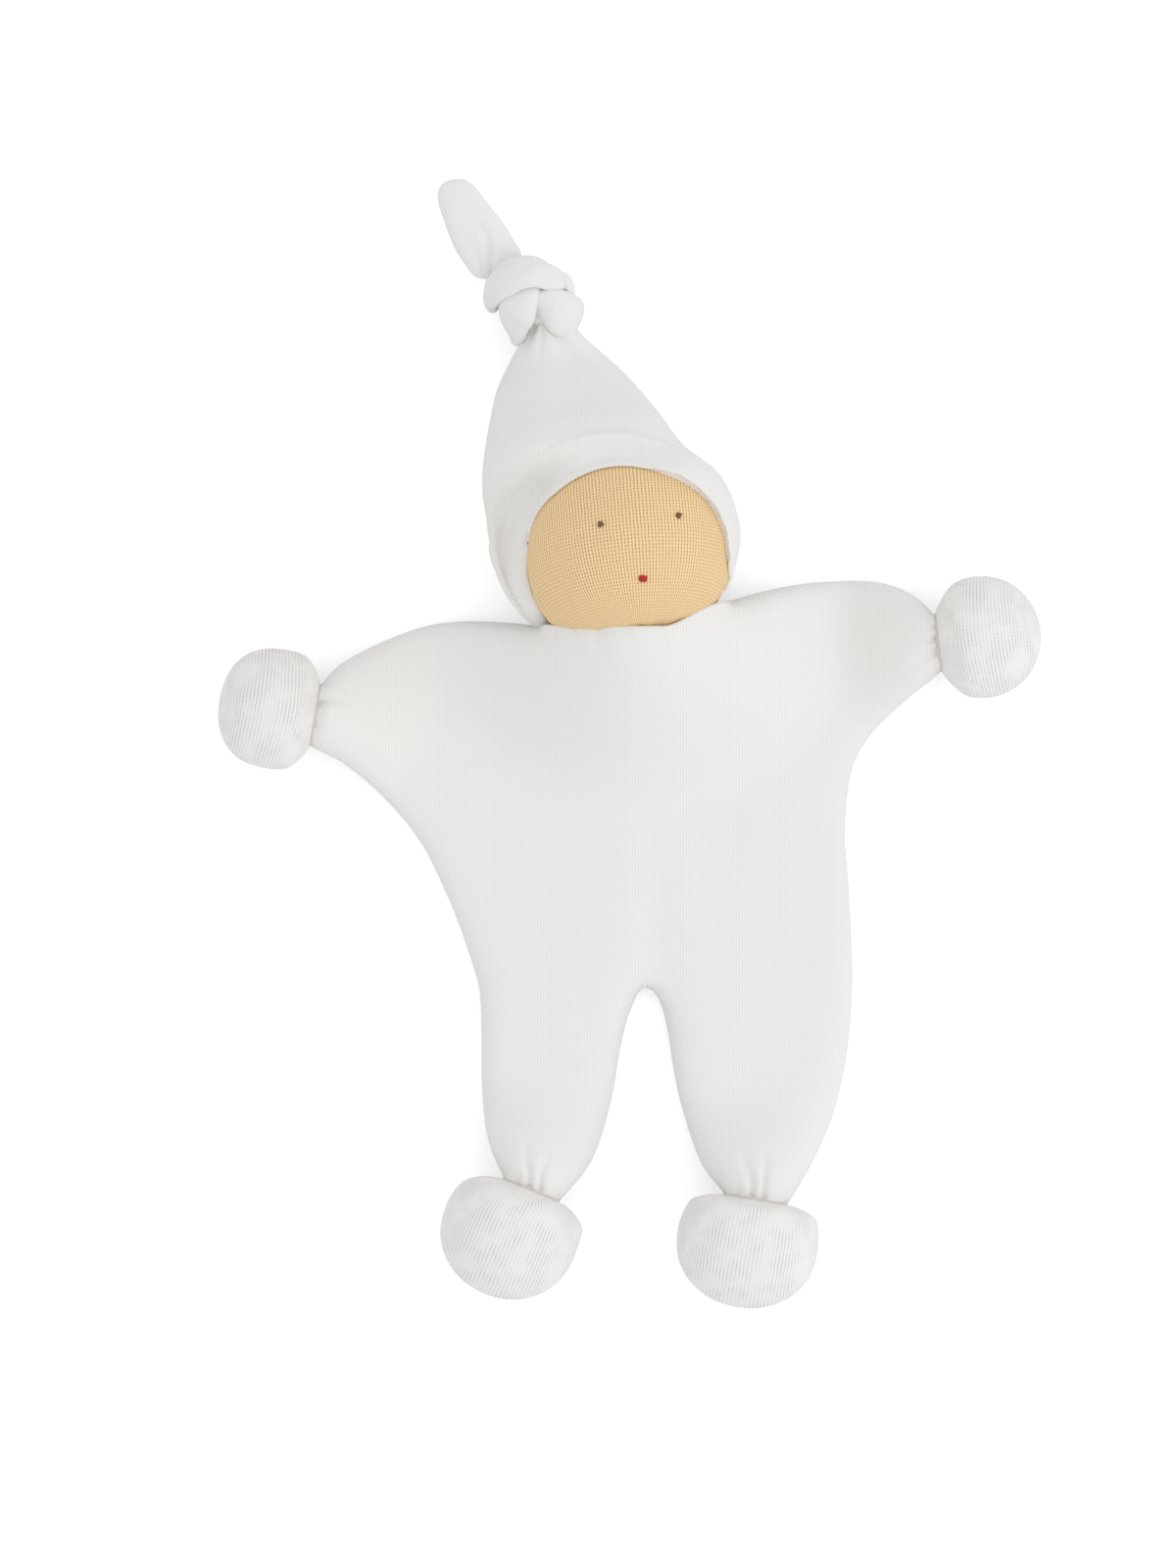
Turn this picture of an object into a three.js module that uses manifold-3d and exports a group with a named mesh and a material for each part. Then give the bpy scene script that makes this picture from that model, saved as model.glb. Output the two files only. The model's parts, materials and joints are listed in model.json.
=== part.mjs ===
import * as THREE from "three";
import Module from "manifold-3d";
import { mergeVertices } from "three/addons/utils/BufferGeometryUtils.js";

// A cloth comforter doll that lies on its back, in millimetres.
// +Z is up and is the way the face looks, +Y runs towards the head, +X is the doll's own left.
// The origin is on the flat underside of the body.

const wasm = await Module();
wasm.setup();

// Cloth, thread and clearances
const clothThickness = 0.8;
const hoodThickness = 1.2;
const woolClearance = 0.8;
const hemRise = 0.5;
const hemWidth = 6.2;
const seamHalfHeight = 0.95;
const clearance = 0.3;
const woolInset = 4.2;
const threadRadius = 0.2;
const threadPitch = 0.83;
const threadTurns = 2;
const threadSides = 5;
const threadSteps = 18;
const threadStart = clearance / 2 + 0.1;
const tieNeckLength = threadStart + threadTurns * threadPitch + 2 * threadRadius + clearance;
const flatDepth = 0.5;

// Padding of the body: half height and crown width of the open cloth
const bodyHalfHeight = 3.7;
const bodyCrown = 13;
const centreFoldDepth = 0.7;
const centreFoldWidth = 5;
const centreFoldTop = -6;
const centreFoldX = 1.5;

// Head ball, gathered at its neck
const headRadius = 22.5;
const headX = -3.3;
const headY = 52.8;
const headZ = 24.7;
const neckStubRadius = 5.2;
const neckStubEnd = 26.3;
const skinThickness = 0.8;

// Neckline of the body, drawn up round the chin
const necklineY = 35.3;
const necklineStraightEnd = 6.2;
const necklineLeftEnd = [18.7, 41.8];
const necklineRightEnd = [-18.7, 35.5];
const neckReach = 45;
const neckBackReach = 28;
const neckHalfHeight = 15.4;
const neckCrown = 17;
const collarHalfWidth = 20.4;
const collarFoldY = 26;

// Fold ranges that the underside is relieved for, in degrees
const shoulderBackFold = 30;
const hipBackFold = 30;
const neckBackFold = 10;
const wristBackFold = 20;
const ankleBackFold = 20;
const tipBackFold = 20;
const tailBackFold = 20;

// Cut lines of the cloth, seen from above
const rightShoulderTop = [-41.8, 36.4];
const rightArmpit = [-45.1, -24.9];
const leftShoulderTop = [41.8, 45.2];
const leftArmpit = [45.3, 0];
const crotch = [-0.4, -45.8];
const rightHip = [-37.4, -46.2];
const leftHip = [46.2, -44.4];
const crotchGap = 0.25;
const rightArmTop = [rightShoulderTop, [-50.2, 35.2], [-61.4, 30.8], [-69.3, 26.4]];
const rightArmUnder = [rightArmpit, [-50.6, -13.2], [-57.6, -4.4], [-67.8, 4.4]];
const leftArmTop = [leftShoulderTop, [49.5, 45.4], [55.9, 44.2], [61.2, 41.2]];
const leftArmUnder = [leftArmpit, [46.6, 4.6], [50.3, 11], [57.8, 18.4]];
const rightSide = [rightArmpit, [-42.2, -31.5], [-39.4, -39.6], rightHip];
const leftSide = [leftArmpit, [44.5, -11], [45.4, -22], [46, -35.2], leftHip];
const rightLegOuter = [rightHip, [-37.1, -57.2], [-37, -68], [-35.6, -80]];
const rightLegInner = [[crotch[0] - crotchGap, crotch[1]], [-2.8, -48.8], [-5.7, -57.4], [-8.2, -72], [-12.4, -84.6]];
const leftLegInner = [[crotch[0] + crotchGap, crotch[1]], [2.7, -48.6], [5, -57.2], [8.2, -73.6], [12.4, -85.4]];
const leftLegOuter = [leftHip, [45.6, -54], [44.4, -64], [41.6, -75], [37.2, -85]];

// Wrists and ankles: centre, way out, half width across, and height above the table
const rightWrist = { x: -74.3, y: 15.5, outX: -0.986, outY: 0.167, half: 7.25, z: 12.3 };
const leftWrist = { x: 65.3, y: 31.7, outX: 0.993, outY: 0.119, half: 6.7, z: 12.3 };
const rightAnkle = { x: -25.9, y: -91, outX: -0.385, outY: -0.923, half: 7, z: 13.4 };
const leftAnkle = { x: 24.4, y: -93.1, outX: -0.16, outY: -0.987, half: 7.4, z: 13.4 };
const tieReach = 27;
const tieHalfHeight = 6;
const pleatDepth = 0.35;
const pleatWidth = 3.6;
const pleatReach = 15;

// Hand and foot balls: half sizes along the limb, across it and upwards, and how far the centre is from the tie
const rightHandSize = { along: 12, across: 13.6, up: 12, centre: 10 };
const leftHandSize = { along: 12.4, across: 13.5, up: 12, centre: 10.8 };
const rightFootSize = { along: 13.4, across: 15.9, up: 13.1, centre: 11.6 };
const leftFootSize = { along: 12.8, across: 16.1, up: 13.1, centre: 11.8 };
const ballShoulder = 0.9;

const ballSides = 18;
const ballPleats = 6;
const ballFullness = 0.86;

// Hood: its two side lines seen from above, and its half height from the neck to the tip
const hoodRightLine = [
  [-29.4, 38.6], [-33.4, 47], [-35.6, 55], [-36.7, 64], [-36.7, 70.4], [-35.9, 79.2], [-33.9, 88], [-31, 95],
  [-28.6, 98.6],
];
const hoodLeftLine = [
  [12.5, 38.6], [18.2, 45], [20.4, 50], [20.9, 55.5], [20.2, 61.6], [18.5, 66], [14.4, 72.4], [8.1, 76.6],
  [2.2, 83.6], [-4.8, 92.4], [-10.4, 97], [-14.1, 100.3],
];
const hoodHalfHeights = [23.4, 24.5, 24.5, 24, 20.5, 15.5, 10, 6];
const hoodTipZ = 7.6;
const hoodHemY = 43.1;
const hoodHemSlope = 0.05;
const faceX = -4.1;
const faceY = 47.4;
const faceHalfWidth = 22.8;
const faceHalfHeight = 23.6;
const faceFloor = 28;
const hemRoundZ = 47;
const hemRoundDepth = 36;

// Knot in the tip of the hood, and the free end beyond it
const knotX = -25.4;
const knotY = 110.2;
const knotZ = 9.6;
const knotBandRadius = 3.4;
const tailBaseRight = [-39.5, 114];
const tailBaseLeft = [-28.2, 120.2];
const tailTipRight = [-47.5, 131.8];
const tailTipLeft = [-38.2, 133.6];
const tailPoint = [-42.9, 135.9];
const tailThickness = 4.4;
const tailZ = 8;

// Colours
const clothColour = 0xeeeeec;
const skinColour = 0xe0bc86;
const eyeColour = 0x6b4a3a;
const mouthColour = 0xb04a44;
const threadColour = 0xd9c2b8;
const woolColour = 0xf2eee2;

const clamp01 = (value) => Math.min(1, Math.max(0, value));
const ease = (value) => clamp01(value) ** 2 * (3 - 2 * clamp01(value));
const radians = THREE.MathUtils.degToRad;
const mix = (a, b, t) => a + (b - a) * t;
const mixPoint = (a, b, t) => [mix(a[0], b[0], t), mix(a[1], b[1], t)];

// A wrist or ankle seen as a frame: points along it, across it and up
function tieFrame(tie) {
  const centre = new THREE.Vector3(tie.x, tie.y, tie.z);
  const out = new THREE.Vector3(tie.outX, tie.outY, 0).normalize();
  const across = new THREE.Vector3(-out.y, out.x, 0);
  const point = (along, side, up) =>
    centre.clone().addScaledVector(out, along).addScaledVector(across, side).add(new THREE.Vector3(0, 0, up));
  const end = (side) => {
    const at = point(-clearance / 2, side * tie.half, 0);
    return [at.x, at.y];
  };
  return { ...tie, centre, out, across, point, end };
}

const ties = {
  rightHand: tieFrame(rightWrist),
  leftHand: tieFrame(leftWrist),
  rightFoot: tieFrame(rightAnkle),
  leftFoot: tieFrame(leftAnkle),
};

function clothEdge(points) {
  return new THREE.CatmullRomCurve3(points.map(([x, y]) => new THREE.Vector3(x, y, 0)), false, "centripetal");
}

const edges = {
  rightNeck: clothEdge([rightShoulderTop, [-30, 36.9], necklineRightEnd]),
  leftNeck: clothEdge([leftShoulderTop, [29, 44.2], necklineLeftEnd]),
  rightArmTop: clothEdge([...rightArmTop, ties.rightHand.end(-1)]),
  rightArmUnder: clothEdge([...rightArmUnder, ties.rightHand.end(1)]),
  leftArmTop: clothEdge([...leftArmTop, ties.leftHand.end(1)]),
  leftArmUnder: clothEdge([...leftArmUnder, ties.leftHand.end(-1)]),
  rightSide: clothEdge(rightSide),
  leftSide: clothEdge(leftSide),
  rightLegOuter: clothEdge([...rightLegOuter, ties.rightFoot.end(-1)]),
  rightLegInner: clothEdge([...rightLegInner, ties.rightFoot.end(1)]),
  leftLegOuter: clothEdge([...leftLegOuter, ties.leftFoot.end(1)]),
  leftLegInner: clothEdge([...leftLegInner, ties.leftFoot.end(-1)]),
};

const edgeSegments = Object.values(edges).flatMap((edge) => {
  const points = edge.getSpacedPoints(26);
  return points.slice(1).map((point, i) => [points[i], point]);
});

function distanceToEdge(x, y) {
  let least = Infinity;
  for (const [a, b] of edgeSegments) {
    const dx = b.x - a.x;
    const dy = b.y - a.y;
    const t = clamp01(((x - a.x) * dx + (y - a.y) * dy) / (dx * dx + dy * dy));
    least = Math.min(least, Math.hypot(x - a.x - t * dx, y - a.y - t * dy));
  }
  return least;
}

// Heights of the padded cloth anywhere in its outline
function padding(x, y) {
  const fromNeck = Math.hypot((x - headX * 0.3) * 0.92, Math.max(0, necklineY - y));
  const neck = 1 - ease(fromNeck / neckReach);
  const neckBack = 1 - ease(fromNeck / neckBackReach);
  const tied = Object.values(ties).map((tie) => 1 - ease(Math.hypot(x - tie.x, y - tie.y) / tieReach));
  const tie = Object.values(ties)[tied.indexOf(Math.max(...tied))];
  const draw = Math.max(...tied);
  const rest = -flatDepth;
  const top = rest + 2 * bodyHalfHeight + (headZ + neckHalfHeight - rest - 2 * bodyHalfHeight) * neck;
  const back = rest + (headZ - neckHalfHeight - rest) * neckBack;
  const half = (top - back) / 2 + (tieHalfHeight - bodyHalfHeight) * draw;
  const crown = bodyCrown + (neckCrown - bodyCrown) * neck + (tie.half - bodyCrown) * draw;
  const inward = 1 - Math.min(1, distanceToEdge(x, y) / crown);
  const height = seamHalfHeight + (half - seamHalfHeight) * Math.sqrt(1 - inward ** 2);
  const base = back + (tie.z - tieHalfHeight - rest) * draw;
  const share = 0.55 + 0.45 * Math.max(neck, draw);
  const along = -((x - tie.x) * tie.out.x + (y - tie.y) * tie.out.y);
  const side = (x - tie.x) * tie.across.x + (y - tie.y) * tie.across.y;
  const wave = Math.cos((2 * Math.PI * side) / (pleatWidth * (1 + Math.max(0, along) / pleatReach)));
  const pleat = pleatDepth * wave * (1 - ease(along / pleatReach)) * (1 - inward ** 2);
  const middle = Math.exp(-(((x - centreFoldX) / centreFoldWidth) ** 2));
  const fold = centreFoldDepth * middle * ease((centreFoldTop - y) / 20) * (1 - inward);
  const lower = Math.max(0, base + share * (half - height));
  const upper = base + 2 * half - (2 - share) * (half - height) + pleat - fold;
  return { lower, upper, middle: (base + share * (half - height) + upper) / 2 };
}

const layers = {
  front: {
    upper: (pad) => pad.upper,
    lower: (pad) => Math.max(pad.upper - clothThickness, pad.middle + clearance / 2),
  },
  back: {
    upper: (pad) => Math.min(pad.lower + clothThickness, pad.middle - clearance / 2),
    lower: (pad) => pad.lower,
  },
  wool: {
    upper: (pad) => pad.upper - clothThickness - woolClearance,
    lower: (pad) => pad.lower + clothThickness + woolClearance,
  },
};

function outwardGeometry(positions, index) {
  const geometry = new THREE.BufferGeometry();
  geometry.setAttribute("position", new THREE.Float32BufferAttribute(positions, 3));
  let volume = 0;
  const [a, b, c] = [new THREE.Vector3(), new THREE.Vector3(), new THREE.Vector3()];
  for (let i = 0; i < index.length; i += 3) {
    a.fromArray(positions, index[i] * 3);
    b.fromArray(positions, index[i + 1] * 3);
    c.fromArray(positions, index[i + 2] * 3);
    volume += a.dot(b.cross(c));
  }
  const turned = volume < 0 ? index.map((_, i) => index[i - (i % 3) + [0, 2, 1][i % 3]]) : index;
  geometry.setIndex(turned);
  return geometry;
}

// A closed body between two heights over a grid of points
function slab(grid, layer) {
  const rows = grid.length;
  const columns = grid[0].length;
  const pads = grid.map((row) => row.map(([x, y]) => padding(x, y)));
  const positions = [];
  for (const side of ["upper", "lower"]) {
    grid.forEach((row, i) => row.forEach(([x, y], j) => positions.push(x, y, layers[layer][side](pads[i][j]))));
  }
  const at = (side, i, j) => (side * rows + i) * columns + j;
  const index = [];
  const quad = (a, b, c, d) => index.push(a, b, c, a, c, d);
  for (let i = 0; i < rows - 1; i += 1) {
    for (let j = 0; j < columns - 1; j += 1) {
      quad(at(0, i, j), at(0, i, j + 1), at(0, i + 1, j + 1), at(0, i + 1, j));
      quad(at(1, i, j), at(1, i + 1, j), at(1, i + 1, j + 1), at(1, i, j + 1));
    }
  }
  for (let j = 0; j < columns - 1; j += 1) {
    quad(at(0, 0, j), at(1, 0, j), at(1, 0, j + 1), at(0, 0, j + 1));
    quad(at(0, rows - 1, j), at(0, rows - 1, j + 1), at(1, rows - 1, j + 1), at(1, rows - 1, j));
  }
  for (let i = 0; i < rows - 1; i += 1) {
    quad(at(0, i, 0), at(0, i + 1, 0), at(1, i + 1, 0), at(1, i, 0));
    quad(at(0, i, columns - 1), at(1, i, columns - 1), at(1, i + 1, columns - 1), at(0, i + 1, columns - 1));
  }
  return outwardGeometry(positions, index);
}

// Shares from 0 to 1 that stand closer together near both ends
const edgeward = (count) =>
  Array.from({ length: count + 1 }, (_, i) => mix(i / count, 0.5 - 0.5 * Math.cos((Math.PI * i) / count), 0.7));
const even = (count) => Array.from({ length: count + 1 }, (_, i) => i / count);

// A limb's grid between its two edge lines, from just beyond the fold to the tie
function limbGrid(first, second, lengthwise, across, from, inset, stop) {
  return even(lengthwise).map((share) => {
    const t = mix(0, stop, share);
    const a = first.getPointAt(t);
    const b = second.getPointAt(t);
    const width = Math.hypot(a.x - b.x, a.y - b.y);
    const in01 = Math.min(0.4, inset / width);
    const push = from * (1 - share);
    const away = new THREE.Vector2(-(b.y - a.y), b.x - a.x).normalize();
    const forward = first.getPointAt(Math.min(1, t + 0.05)).sub(a);
    const sign = Math.sign(away.x * forward.x + away.y * forward.y) || 1;
    return edgeward(across).map((s) => {
      const [x, y] = mixPoint([a.x, a.y], [b.x, b.y], mix(in01, 1 - in01, s));
      return [x + away.x * push * sign, y + away.y * push * sign];
    });
  });
}

function solidOf(geometry) {
  const plain = geometry.clone();
  for (const name of ["normal", "uv"]) {
    plain.deleteAttribute(name);
  }
  const merged = mergeVertices(plain, 1e-5);
  return new wasm.Manifold(
    new wasm.Mesh({
      numProp: 3,
      vertProperties: new Float32Array(merged.attributes.position.array),
      triVerts: new Uint32Array(merged.index.array),
    }),
  );
}

function geometryOf(solid) {
  const mesh = solid.getMesh();
  const geometry = new THREE.BufferGeometry();
  geometry.setAttribute("position", new THREE.BufferAttribute(new Float32Array(mesh.vertProperties), 3));
  geometry.setIndex(new THREE.BufferAttribute(new Uint32Array(mesh.triVerts), 1));
  return geometry;
}

// A prism whose section lies in a vertical plane across a line, for the relief under a fold
function foldRelief(a, b, out, axisZ, backFold, past, reach) {
  const along = new THREE.Vector3(b[0] - a[0], b[1] - a[1], 0);
  const length = along.length();
  along.normalize();
  const away = new THREE.Vector3(out[0], out[1], 0).normalize();
  const lean = Math.tan(radians(backFold + 1));
  const top = 40;
  const floor = -6;
  const section = new THREE.Shape();
  section.moveTo(-clearance / 2, top);
  section.lineTo(-clearance / 2, 0);
  section.lineTo(-clearance / 2 + lean * (floor - axisZ), floor - axisZ);
  section.lineTo(reach, floor - axisZ);
  section.lineTo(reach, top);
  section.closePath();
  const prism = new THREE.ExtrudeGeometry(section, { depth: length + 2 * past, bevelEnabled: false });
  const up = new THREE.Vector3(0, 0, 1);
  const side = new THREE.Vector3().crossVectors(away, up);
  const start = new THREE.Vector3(a[0], a[1], axisZ);
  const sign = side.dot(along) > 0 ? 1 : -1;
  start.addScaledVector(along, sign > 0 ? -past : length + past);
  prism.applyMatrix4(new THREE.Matrix4().makeBasis(away, up, side).setPosition(start));
  return solidOf(prism);
}

const ridge = (a, b) => Math.max(...even(20).map((t) => padding(...mixPoint(a, b, t)).upper)) + 0.05;
const shoulderAxisZ = {
  right: ridge(rightShoulderTop, rightArmpit),
  left: ridge(leftShoulderTop, leftArmpit),
};
const hipAxisZ = { right: ridge(rightHip, crotch), left: ridge(crotch, leftHip) };
const neckAxisZ = ridge([-collarHalfWidth, collarFoldY], [collarHalfWidth, collarFoldY]);

// Body cloth between the shoulder and hip folds
const rightBorder = [
  ...even(6).map((t) => edges.rightSide.getPointAt(1 - t)).map((p) => [p.x, p.y]),
  ...even(13).slice(1).map((t) => mixPoint(rightArmpit, rightShoulderTop, t)),
];
const leftBorder = [
  ...even(9).map((t) => edges.leftSide.getPointAt(1 - t)).map((p) => [p.x, p.y]),
  ...even(10).slice(1).map((t) => mixPoint(leftArmpit, leftShoulderTop, t)),
];

function borderAt(border, t) {
  const at = t * (border.length - 1);
  const low = Math.min(border.length - 2, Math.floor(at));
  return mixPoint(border[low], border[low + 1], at - low);
}

function topEdge(t) {
  if (t < 0.28) {
    const point = edges.rightNeck.getPointAt(t / 0.28);
    return [point.x, point.y];
  }
  if (t > 0.72) {
    const point = edges.leftNeck.getPointAt((1 - t) / 0.28);
    return [point.x, point.y];
  }
  const share = (t - 0.28) / 0.44;
  const x = mix(necklineRightEnd[0], necklineLeftEnd[0], share);
  const rise = ease((x - necklineStraightEnd) / (necklineLeftEnd[0] - necklineStraightEnd + 4)) * 1.27;
  return [x, mix(necklineY, necklineLeftEnd[1], clamp01(rise))];
}

function bottomEdge(t) {
  return t < 0.45 ? mixPoint(rightHip, crotch, t / 0.45) : mixPoint(crotch, leftHip, (t - 0.45) / 0.55);
}

// Blends four border lines into one grid
function bodyGrid(rows, columns, inset, low, high) {
  const shares = edgeward(columns).map((s) => mix(inset / 90, 1 - inset / 90, s));
  return even(rows).map((row) => {
    const v = mix(low, high, row);
    return shares.map((u) => {
      const side = mixPoint(borderAt(rightBorder, v), borderAt(leftBorder, v), u);
      const ends = mixPoint(bottomEdge(u), topEdge(u), v);
      const corners = mixPoint(
        mixPoint(rightHip, leftHip, u),
        mixPoint(rightShoulderTop, leftShoulderTop, u),
        v,
      );
      return [side[0] + ends[0] - corners[0], side[1] + ends[1] - corners[1]];
    });
  });
}

const rightArmOut = [-(rightShoulderTop[1] - rightArmpit[1]), rightShoulderTop[0] - rightArmpit[0]];
const leftArmOut = [leftShoulderTop[1] - leftArmpit[1], -(leftShoulderTop[0] - leftArmpit[0])];
const rightLegOut = [crotch[1] - rightHip[1], -(crotch[0] - rightHip[0])];
const leftLegOut = [leftHip[1] - crotch[1], -(leftHip[0] - crotch[0])];

const bodyReliefs = [
  foldRelief(rightShoulderTop, rightArmpit, rightArmOut, shoulderAxisZ.right, shoulderBackFold, 1.5, 20),
  foldRelief(leftShoulderTop, leftArmpit, leftArmOut, shoulderAxisZ.left, shoulderBackFold, 1.5, 20),
  foldRelief(rightHip, crotch, rightLegOut, hipAxisZ.right, hipBackFold, 1.5, 20),
  foldRelief(crotch, leftHip, leftLegOut, hipAxisZ.left, hipBackFold, 1.5, 20),
];
const neckRelief = foldRelief(
  [-collarHalfWidth, collarFoldY],
  [collarHalfWidth, collarFoldY],
  [0, 1],
  neckAxisZ,
  neckBackFold,
  clearance,
  40,
);

function box(x0, x1, y0, y1, z0, z1) {
  const geometry = new THREE.BoxGeometry(x1 - x0, y1 - y0, z1 - z0);
  geometry.translate((x0 + x1) / 2, (y0 + y1) / 2, (z0 + z1) / 2);
  return solidOf(geometry);
}

const collarSpace = box(-collarHalfWidth, collarHalfWidth, collarFoldY + clearance / 2, 70, -10, 80);

function ball(radius, around, up) {
  const geometry = new THREE.SphereGeometry(radius, around, up);
  geometry.translate(headX, headY, headZ);
  return solidOf(geometry);
}

const headSpace = ball(headRadius + clearance + 0.3, 26, 16);

const trim = (solid, cutters) => cutters.reduce((rest, cutter) => rest.subtract(cutter), solid);
const bodyFront = solidOf(slab(bodyGrid(17, 16, 0, 0, 1), "front"));
const bodyBack = solidOf(slab(bodyGrid(11, 10, 0, 0, 1), "back"));
const bodyWool = solidOf(slab(bodyGrid(10, 8, 5.5, 0.07, 0.72), "wool"));

// A closed skin through rings of points, ended by poles or joined round
function skin(rings, startPole, endPole) {
  const count = rings[0].length;
  const positions = rings.flat().flatMap((point) => [point.x, point.y, point.z]);
  const index = [];
  const joined = !startPole && !endPole;
  const steps = joined ? rings.length : rings.length - 1;
  for (let i = 0; i < steps; i += 1) {
    const next = ((i + 1) % rings.length) * count;
    for (let j = 0; j < count; j += 1) {
      const k = (j + 1) % count;
      const here = i * count;
      index.push(here + j, here + k, next + k, here + j, next + k, next + j);
    }
  }
  const pole = (point, ring, turned) => {
    const tip = positions.length / 3;
    positions.push(point.x, point.y, point.z);
    for (let j = 0; j < count; j += 1) {
      const k = (j + 1) % count;
      index.push(tip, ring * count + (turned ? j : k), ring * count + (turned ? k : j));
    }
  };
  if (startPole) {
    pole(startPole, 0, false);
  }
  if (endPole) {
    pole(endPole, rings.length - 1, true);
  }
  return outwardGeometry(positions, index);
}

// Ball of a hand or foot: a knitted cover gathered at its neck, and the wool in it
function ballForm(tie, size) {
  const neckSide = tie.half - 2 * threadRadius - clearance;
  const neckUp = tieHalfHeight - 0.4;
  const full = (value) => Math.sign(value) * Math.abs(value) ** ballFullness;
  const shoulder = tieNeckLength + ballShoulder;
  const angleAt = (along) => Math.acos(((size.centre - along) / size.along) ** (1 / ballFullness));
  const ring = (along, side, up, depth) =>
    even(ballSides).slice(1).map((t) => {
      const angle = t * 2 * Math.PI;
      const pleat = 1 - depth * (0.5 + 0.5 * Math.cos(ballPleats * angle));
      return tie.point(along, side * pleat * Math.cos(angle), up * pleat * Math.sin(angle));
    });
  const cover = (wall, turns) => {
    const start = angleAt(shoulder + wall);
    const startWide = full(Math.sin(start));
    const rings = [
      ring(clearance / 2, neckSide - wall, neckUp - wall, 0),
      ring(tieNeckLength + wall, neckSide - wall, neckUp - wall, 0),
      ring(
        tieNeckLength + wall + 0.15,
        mix(neckSide, size.across * startWide, 0.6) - wall,
        mix(neckUp, size.up * startWide, 0.6) - wall,
        0.06,
      ),
    ];
    for (const turn of turns) {
      const angle = mix(start, Math.PI, turn);
      const wide = full(Math.sin(angle));
      const depth = 0.04 * clamp01(1 - turn * 4);
      const at = size.centre - (size.along - wall) * full(Math.cos(angle));
      rings.push(ring(at, size.across * wide - wall, size.up * wide - wall, depth));
    }
    return rings;
  };
  const outer = cover(0, [0, 0.13, 0.28, 0.44, 0.6, 0.76, 0.9]);
  const inner = cover(clothThickness, [0, 0.25, 0.5, 0.75, 0.91]);
  const end = tie.point(size.centre + size.along, 0, 0);
  const innerEnd = tie.point(size.centre + size.along - clothThickness, 0, 0);
  const woolGap = clothThickness + clearance + 0.75;
  const woolStart = shoulder + woolGap;
  const woolHalf = (size.centre + size.along - woolGap - woolStart) / 2;
  const wool = new THREE.SphereGeometry(1, 12, 8);
  wool.scale(woolHalf, size.across - woolGap, size.up - woolGap);
  const up = new THREE.Vector3(0, 0, 1);
  wool.applyMatrix4(
    new THREE.Matrix4().makeBasis(tie.out, tie.across, up).setPosition(tie.point(woolStart + woolHalf, 0, 0)),
  );
  return {
    cover: skin([...inner.reverse(), ...outer], innerEnd, end),
    wool,
    neckSide,
    neckUp,
  };
}

// A thread wound round a neck as one unbroken helix, and the least gap between its turns
function winding(place, sideRadius, upRadius, startAlong) {
  const total = threadTurns * threadSteps;
  const centres = [];
  for (let i = -1; i <= total + 1; i += 1) {
    const turn = Math.min(total, Math.max(0, i));
    const angle = (turn / threadSteps) * 2 * Math.PI - Math.PI / 2;
    const along = startAlong + (turn / threadSteps) * threadPitch;
    const over = i < 0 ? -2 * threadRadius : i > total ? 2 * threadRadius : 0;
    const side = sideRadius * Math.cos(angle) - Math.sin(angle) * over;
    centres.push(place(along, side, upRadius * Math.sin(angle) + Math.cos(angle) * over));
  }
  const rings = centres.map((centre, i) => {
    const before = centres[Math.max(0, i - 1)];
    const after = centres[Math.min(centres.length - 1, i + 1)];
    const tangent = after.clone().sub(before).normalize();
    const outward = centre.clone().sub(place(startAlong, 0, 0)).normalize();
    const across = new THREE.Vector3().crossVectors(tangent, outward).normalize();
    const level = new THREE.Vector3().crossVectors(across, tangent).normalize();
    return even(threadSides).slice(1).map((t) =>
      centre
        .clone()
        .addScaledVector(level, threadRadius * Math.cos(t * 2 * Math.PI))
        .addScaledVector(across, threadRadius * Math.sin(t * 2 * Math.PI)),
    );
  });
  let least = Infinity;
  for (let i = 0; i < centres.length; i += 1) {
    for (let j = i + threadSteps / 2; j < centres.length; j += 1) {
      least = Math.min(least, centres[i].distanceTo(centres[j]) - 2 * threadRadius);
    }
  }
  return { geometry: skin(rings, centres[0], centres[centres.length - 1]), least };
}

// Head: a gathered knitted ball on a short neck, over a ball of wool
function headSkin() {
  const inner = headRadius - skinThickness;
  const innerStub = neckStubRadius - skinThickness;
  const stubY = neckStubEnd - headY;
  const profile = [];
  const arc = (radius, from, to, steps) => {
    for (let i = 0; i <= steps; i += 1) {
      const angle = mix(from, to, i / steps);
      profile.push(new THREE.Vector2(Math.max(0, radius * Math.cos(angle)), radius * Math.sin(angle)));
    }
  };
  const leave = -Math.acos(9 / headRadius);
  profile.push(new THREE.Vector2(neckStubRadius, stubY));
  profile.push(new THREE.Vector2(neckStubRadius, -headRadius + 0.2));
  arc(headRadius, leave, Math.PI / 2, 13);
  arc(inner, Math.PI / 2, -Math.acos(8.4 / inner), 9);
  profile.push(new THREE.Vector2(innerStub, -inner + 0.1));
  profile.push(new THREE.Vector2(innerStub, stubY));
  profile.push(new THREE.Vector2(neckStubRadius, stubY));
  const geometry = new THREE.LatheGeometry(profile, 24);
  geometry.translate(headX, headY, headZ);
  return geometryOf(solidOf(geometry));
}

// Hood: sections between its two side lines, hollow, open below and at the face
const hoodRight = clothEdge(hoodRightLine);
const hoodLeft = clothEdge(hoodLeftLine);

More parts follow.
